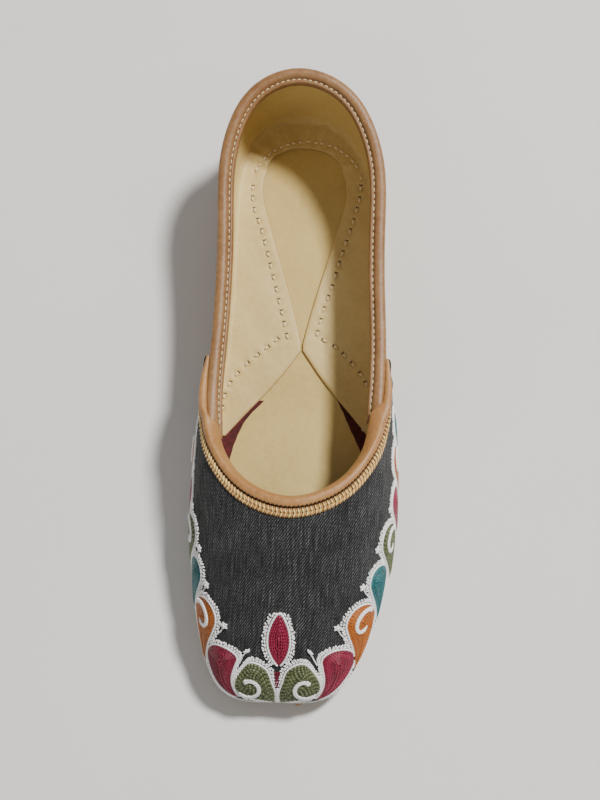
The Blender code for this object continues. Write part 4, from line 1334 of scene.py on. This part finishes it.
def wall_at(z_over):
    """Wall points at a height over the sole's top, and there the way inward."""
    out = np.zeros((len(RIB), 3))
    for i in range(len(RIB)):
        zz = wall_pts[i, :, 2] - sole_top(wall_pts[i, :, 1] - TOE_Y)
        v = np.interp(z_over, zz, vt)
        out[i] = [np.interp(v, vt, wall_pts[i, :, k]) for k in range(3)]
    return out


w_low, w_top = wall_at(Z_TOP), wall_at(Z_TOP + R_F)
e3 = place(edge_p[:, 0], edge_p[:, 1], sole_top(edge_p[:, 1]) + Z_TOP)
inward = unit((e3 - w_low) * np.array([1, 1, 0.0]))
foot = w_low + inward * R_F                     # where the flat part ends
path, tone_cols = [], []
flat_n = 40
q = np.linspace(0.0, 1.0, flat_n) ** 1.15
length = np.linalg.norm((foot - e3)[:, :2], axis=1)
for k in q:
    p = e3 + (foot - e3) * k
    p[:, 2] = sole_top(p[:, 1] - TOE_Y) + Z_TOP
    drop = 0.42 * np.exp(-(k * length / 0.55))
    p[:, 2] -= drop
    path.append(p)
    tone_cols.append(np.exp(-(k * length / 0.5)) * 0.35)
for a in np.linspace(0.0, math.pi / 2, 8)[1:]:
    z = Z_TOP + R_F * (1 - math.cos(a))
    w = wall_at(z)
    p = w + inward * (R_F * (1 - math.sin(a)))
    p[:, 2] = sole_top(p[:, 1] - TOE_Y) + z
    path.append(p)
    tone_cols.append(np.zeros(len(RIB)))
for z, inset in ((Z_TOP + R_F + 0.7, 0.0), (Z_TOP + R_F + 1.6, -0.22)):
    w = wall_at(z)
    path.append(w + inward * inset)
    tone_cols.append(np.zeros(len(RIB)))
top = np.stack(path, 1)
# dimples round the stitches, soft puckers between them, and gathers where the leather turns round the heel


def flap_relief(q):
    d2 = ((q[..., None, :] - BEADS) ** 2).sum(-1)
    dent = (0.46 * np.exp(-d2 / 1.5 ** 2)).max(-1)
    mids = np.array([(a_ + b_) / 2 for a_, b_ in zip(BEADS[:-1], BEADS[1:]) if np.linalg.norm(a_ - b_) < 7.5])
    ridge = (0.20 * np.exp(-((q[..., None, :] - mids) ** 2).sum(-1) / 1.6 ** 2)).max(-1)
    x, s = q[..., 0], q[..., 1]
    wob = 0.10 * np.sin(s * 0.23 + x * 0.31) + 0.07 * np.sin(s * 0.51 - x * 0.2 + 1.0)
    ang = np.arctan2(s - 216.0, x)
    rad = np.hypot(x, s - 216.0)
    gather = (0.34 * np.sin(ang * 17.0 + 1.4 * np.sin(ang * 5.0)) + 0.14 * np.sin(ang * 31.0 + 1.0)) * smooth(14.0, 18.0, rad) * smooth(214.0, 222.0, s)
    return ridge - dent + wob + gather


plan = np.stack([top[..., 0] - CENTRE_X - swing(top[..., 1] - TOE_Y), top[..., 1] - TOE_Y], -1)
fall = smooth(0.0, 1.6, np.linalg.norm(top - top[:, :1], axis=-1))
top[:, :flat_n + 3, 2] += (flap_relief(plan) * fall)[:, :flat_n + 3]
dd = np.linalg.norm(plan[:, :, None] - BEADS[None, None], axis=-1)
# underside and the cut edge
under = []
e_out = edge_p
under.append(place(e_out[:, 0], e_out[:, 1], sole_top(e_out[:, 1]) + Z_TOP - 0.8) - inward * -0.12)
under.append(place(e_out[:, 0], e_out[:, 1], sole_top(e_out[:, 1]) + Z_LOW + 0.1))
p = w_low * 0.5 + e3 * 0.5
p[:, 2] = sole_top(p[:, 1] - TOE_Y) + Z_LOW
u2 = p
p = w_low + inward * 0.5
p[:, 2] = sole_top(p[:, 1] - TOE_Y) + Z_LOW
u3 = p
u4 = wall_at(Z_TOP + 0.8) + inward * -0.4
u5 = wall_at(Z_TOP + R_F + 1.5) + inward * -0.45
ring = np.concatenate([top, u5[:, None], u4[:, None], u3[:, None], u2[:, None], under[1][:, None], under[0][:, None]], 1)
# tone: the cut edge's own darker colour near the inner edge and on the underside's rim; round each stitch a darker
# ring, painted shade of its dimple
tone = np.concatenate([np.stack(tone_cols, 1) + 0.5 * np.exp(-(dd.min(-1) / 0.9) ** 2), np.zeros((len(RIB), 4)), np.full((len(RIB), 2), 0.75)], 1)
b = Build()
add_loft(b, ring, tone=tone)
b.done("quarter_turn_in", [BEIGE], "lining_leather", ["quarter_flaps"])

# stitches on it: a cream bead with a dark slit on its heel side; the slit is painted shade where the thread goes into
# the leather
b = Build()
t5 = np.linspace(0.0, 1.0, 6)
half_len = 0.95
l = (-half_len + 2 * half_len * t5)[None, :, None]
turn_a = rng.normal(0.0, 0.22, len(BEADS))
rot = np.stack([np.stack([np.cos(turn_a), -np.sin(turn_a)], -1), np.stack([np.sin(turn_a), np.cos(turn_a)], -1)], 1)
dirs = np.einsum("nij,nj->ni", rot, BEAD_DIRS)
pts = BEADS[:, None] + dirs[:, None] * l
z = sole_top(pts[..., 1]) + Z_TOP + flap_relief(BEADS)[:, None] + 0.26 + 0.24 * np.sin(math.pi * (0.1 + 0.8 * t5))
c = place(pts[..., 0], pts[..., 1], z)
nn = np.zeros_like(c)
nn[..., 2] = 1.0
w = 0.60 * np.sin(math.pi * (0.14 + 0.72 * t5)) ** 0.6
# tone highest at each bead's middle: painted highlight; lower at its ends: painted shade
add_tubes(b, c, nn, np.broadcast_to(w, pts.shape[:2]), np.broadcast_to(w * 0.8, pts.shape[:2]), 8,
          np.broadcast_to(0.45 + 0.5 * np.sin(math.pi * t5), pts.shape[:2]))
# the lone knot on the lining at the outer gap
kn = place(np.array([26.4, 26.8, 27.3]), np.array([110.2, 110.6, 111.0]), sole_top(110.6) + GAP + INSOLE_THICK + 0.75)
add_thread(b, kn, np.tile([0, 0, 1.0], (3, 1)), 0.75, 0.5, 8, 0.9)
b.done("flap_stitches", [CREAM], "braid_thread")
# dark slits: painted shade at each stitch's hole
across_ = np.stack([-BEAD_DIRS[:, 1], BEAD_DIRS[:, 0]], -1)
slit = BEADS[:, None] + BEAD_DIRS[:, None] * 1.25 + across_[:, None] * np.linspace(-0.6, 0.6, 4)[None, :, None] \
    + BEAD_DIRS[:, None] * (np.array([0.25, 0.0, 0.0, 0.25]))[None, :, None]
slit = slit[: sum(len(k) for k in beads[:4])]      # none shows in the row round the heel
c = place(slit[..., 0], slit[..., 1], sole_top(slit[..., 1]) + Z_TOP + flap_relief(slit) + 0.05)
nn = np.zeros_like(c)
nn[..., 2] = 1.0
add_tubes(dark, c, nn, np.full(c.shape[:2], 0.24), np.full(c.shape[:2], 0.12), 6)
dark.done("stitch_holes_painted_shade", [HOLE_SHADE], "braid_thread")

# the vamp's lining turned in over the footbed: it shows between the flaps' front edges and the footbed
MARGIN_R = ((92.0, 30.5), (97.5, 27.6), (103.4, 25.0), (110.3, 21.6), (115.0, 19.4), (119.0, 17.5), (122.9, 15.4), (126.5, 13.4), (131.0, 10.6))
MARGIN_L = ((88.0, 29.6), (92.0, 28.4), (96.0, 27.4), (102.3, 26.0), (108.6, 23.9), (114.5, 21.0), (117.5, 18.6), (122.0, 14.4))
b = Build()
for side, table in ((1.0, MARGIN_R), (-1.0, MARGIN_L)):
    edge = open_spline(table)
    s = np.linspace(table[0][0], table[-1][0], 60)
    wall_x = np.array([float(seat_point(u_at_wall(max(k, 80.0)), -WALL)[0]) for k in s])
    e = np.minimum(edge(s) + 0.07 * np.sin(s * 1.3), wall_x - 0.3)
    t9 = np.linspace(0.0, 1.0, 9)
    x = side * (e[:, None] + (wall_x - e)[:, None] * t9)
    zz = sole_top(s)[:, None] + GAP + INSOLE_THICK + 0.42 + 0.06 * np.sin(x * 1.3 + s[:, None])
    zz = zz - 0.3 * np.exp(-((np.abs(x) - e[:, None]) / 0.4))
    a = place(x, np.broadcast_to(s[:, None], x.shape), zz)
    c = place(x, np.broadcast_to(s[:, None], x.shape), zz * 0 + sole_top(s)[:, None] + GAP + INSOLE_THICK + 0.03)
    if side < 0:
        a, c = a[::-1], c[::-1]
    add_sheet(b, a, c)
b.done("vamp_lining_margin", [MAROON], "lining_leather")


# ------------------------------------------------------------------ sole and heel
def sole_off(u):
    s = LOOP(u)[..., 0]
    d = ((u + HALF_ROWS) % LOOP_ROWS) - HALF_ROWS
    return (0.9 + 1.3 * (1.0 - smooth(118.0, 146.0, s)) + 1.3 * np.exp(-((d - TIP_AT) / 0.11) ** 2)
            - 0.5 * np.exp(-((d + 0.35) / 0.3) ** 2))


def z_s(h):
    return lambda s: sole_under(s) + h


b = Build()
T = SOLE_THICK
slab(b, seat_point(u_all, sole_off(u_all)),
     [(4.3, z_s(0.0), 0.0), (3.75, z_s(0.0), 0.1), (3.5, z_s(0.45), 0.9), (3.2, z_s(0.45), 0.9), (2.95, z_s(0.0), 0.1),
      (1.2, z_s(0.0), 0.15), (0.5, z_s(0.14), 0.3), (0.12, z_s(0.5), 0.4), (0.0, z_s(1.0), 0.35), (0.06, z_s(1.7), 0.25),
      (0.18, z_s(2.1), 0.55), (0.06, z_s(2.5), 0.25), (0.0, z_s(3.2), 0.3), (0.1, z_s(3.7), 0.3), (0.5, z_s(T - 0.12), 0.1),
      (1.2, z_s(T), 0.0), (4.3, z_s(T), 0.0)])
b.done("sole", [SOLE], "sole_leather", ["outsole"])

# stitches in the sole's groove
b = Build()
q = seat_point(u_all, sole_off(u_all) - 3.35)
loopline = np.concatenate([q, q[:1]])
l = along(loopline)
starts = np.arange(0.0, l[-1] - 3.0, 3.6)
ll = starts[:, None] + 2.6 * t5
x, y = np.interp(ll, l, loopline[:, 0]), np.interp(ll, l, loopline[:, 1])
ok = (y < 190.0).all(1)
x, y = x[ok], y[ok]
c = place(x, y, sole_under(y) + 0.40 - 0.22 * np.sin(math.pi * t5))
nn = np.zeros_like(c)
nn[..., 2] = -1.0
# tone highest at each stitch's middle: painted highlight; lower at its ends: painted shade
add_tubes(b, c, nn, np.full(x.shape, 0.36), np.full(x.shape, 0.26), 6, np.broadcast_to(0.3 + 0.4 * np.sin(math.pi * t5), x.shape))
b.done("sole_stitches", [CREAM], "braid_thread")

# stacked heel lift
us_h = np.linspace(HALF_ROWS - 5, HALF_ROWS, 120)
us_h = np.array([u for u in us_h if LOOP(u)[0] > HEEL_FROM + 3.0])
sidep = seat_point(us_h, 0.2)
fx = sidep[0, 0]
k = np.linspace(0.0, 1.0, 40)[:-1]
front = np.stack([fx * k, HEEL_FROM + 4.0 * (1.0 - k * k)], -1)
right = np.concatenate([front, sidep])
outl = np.concatenate([right, np.stack([-right[::-1, 0], right[::-1, 1]], -1)[1:-1]])
b = Build()
H = HEEL_RISE - GAP + 0.28


def zc(h):
    return lambda s: np.full(np.shape(s), h)


slab(b, outl, [(3.5, zc(0.0), 0.3), (1.0, zc(0.0), 0.35), (0.35, zc(0.1), 0.5), (0.05, zc(0.45), 0.4), (0.0, zc(1.0), 0.2),
               (0.0, zc(1.75), 0.25), (0.16, zc(1.95), 0.9), (0.0, zc(2.15), 0.2), (0.0, zc(3.7), 0.2), (0.16, zc(3.9), 0.9),
               (0.0, zc(4.1), 0.25), (0.0, zc(5.6), 0.3), (0.1, zc(H), 0.6), (3.5, zc(H), 0.3)])
b.done("heel_stack", [EDGE], "sole_leather", ["heel_lift"])

# ------------------------------------------------------------------ floor, light, camera
me = bpy.data.meshes.new("floor")
n_f = 24
xs = np.linspace(-2.2, 2.2, n_f)
fv = [(x, y, -0.0004) for x in xs for y in xs]
ff = [(i * n_f + j, (i + 1) * n_f + j, (i + 1) * n_f + j + 1, i * n_f + j + 1) for i in range(n_f - 1) for j in range(n_f - 1)]
me.from_pydata(fv, [], ff)
floor = bpy.data.objects.new("floor", me)
bpy.context.scene.collection.objects.link(floor)
net = Net("floor_paper")
p = net.object_mm()
net.set(Base_Color=net.ramp(net.noise(p, 0.004, 3.0), [(0.3, lin(226, 224, 220)), (0.7, lin(232, 230, 227))]), Roughness=0.85,
        Normal=net.bump(net.noise(p, 1.2, 3.0), 0.03))
me.materials.append(net.mat)

world = bpy.data.worlds.new("studio")
bpy.context.scene.world = world
world.use_nodes = True
bg = world.node_tree.nodes["Background"]
bg.inputs[0].default_value = (1.0, 0.985, 0.965, 1.0)
bg.inputs[1].default_value = 0.28


def lamp(name, place_m, target_m, size, watts, colour):
    data = bpy.data.lights.new(name, "AREA")
    data.shape = "DISK"
    data.size = size
    data.energy = watts
    data.color = colour
    o = bpy.data.objects.new(name, data)
    bpy.context.scene.collection.objects.link(o)
    z = unit(np.array(place_m, float) - np.array(target_m, float))
    x = unit(np.cross([0.0, 1.0, 0.05], z))
    y = np.cross(z, x)
    o.matrix_world = Matrix([[x[0], y[0], z[0], place_m[0]], [x[1], y[1], z[1], place_m[1]], [x[2], y[2], z[2], place_m[2]], [0, 0, 0, 1]])
    return o


KEY_DIR = unit(np.array([0.52, 0.36, 1.0]))
lamp("key", tuple(KEY_DIR * 2.4 + np.array([0, 0.02, 0.03])), (0.0, 0.02, 0.03), 0.38, 86.0, (1.0, 0.985, 0.96))
lamp("fill", (-0.9, -1.7, 1.5), (0.0, 0.0, 0.03), 1.6, 7.0, (1.0, 1.0, 1.0))

cam_data = bpy.data.cameras.new("camera")
cam_data.lens = 72.45
cam_data.sensor_width = 36.0
cam_data.sensor_fit = "AUTO"
cam_data.clip_start, cam_data.clip_end = 0.01, 20.0
cam = bpy.data.objects.new("camera", cam_data)
bpy.context.scene.collection.objects.link(cam)
right = (0.99887861, 0.03083761, -0.03592447)
up = (-0.02008534, 0.96313133, 0.26828088)
fwd = (-0.04287313, 0.26725847, -0.96267066)
at = (0.02910, -0.17760, 0.64385)
cam.matrix_world = Matrix([[right[0], up[0], -fwd[0], at[0]], [right[1], up[1], -fwd[1], at[1]], [right[2], up[2], -fwd[2], at[2]],
                           [0, 0, 0, 1]])
bpy.context.scene.camera = cam

bpy.context.view_layer.update()
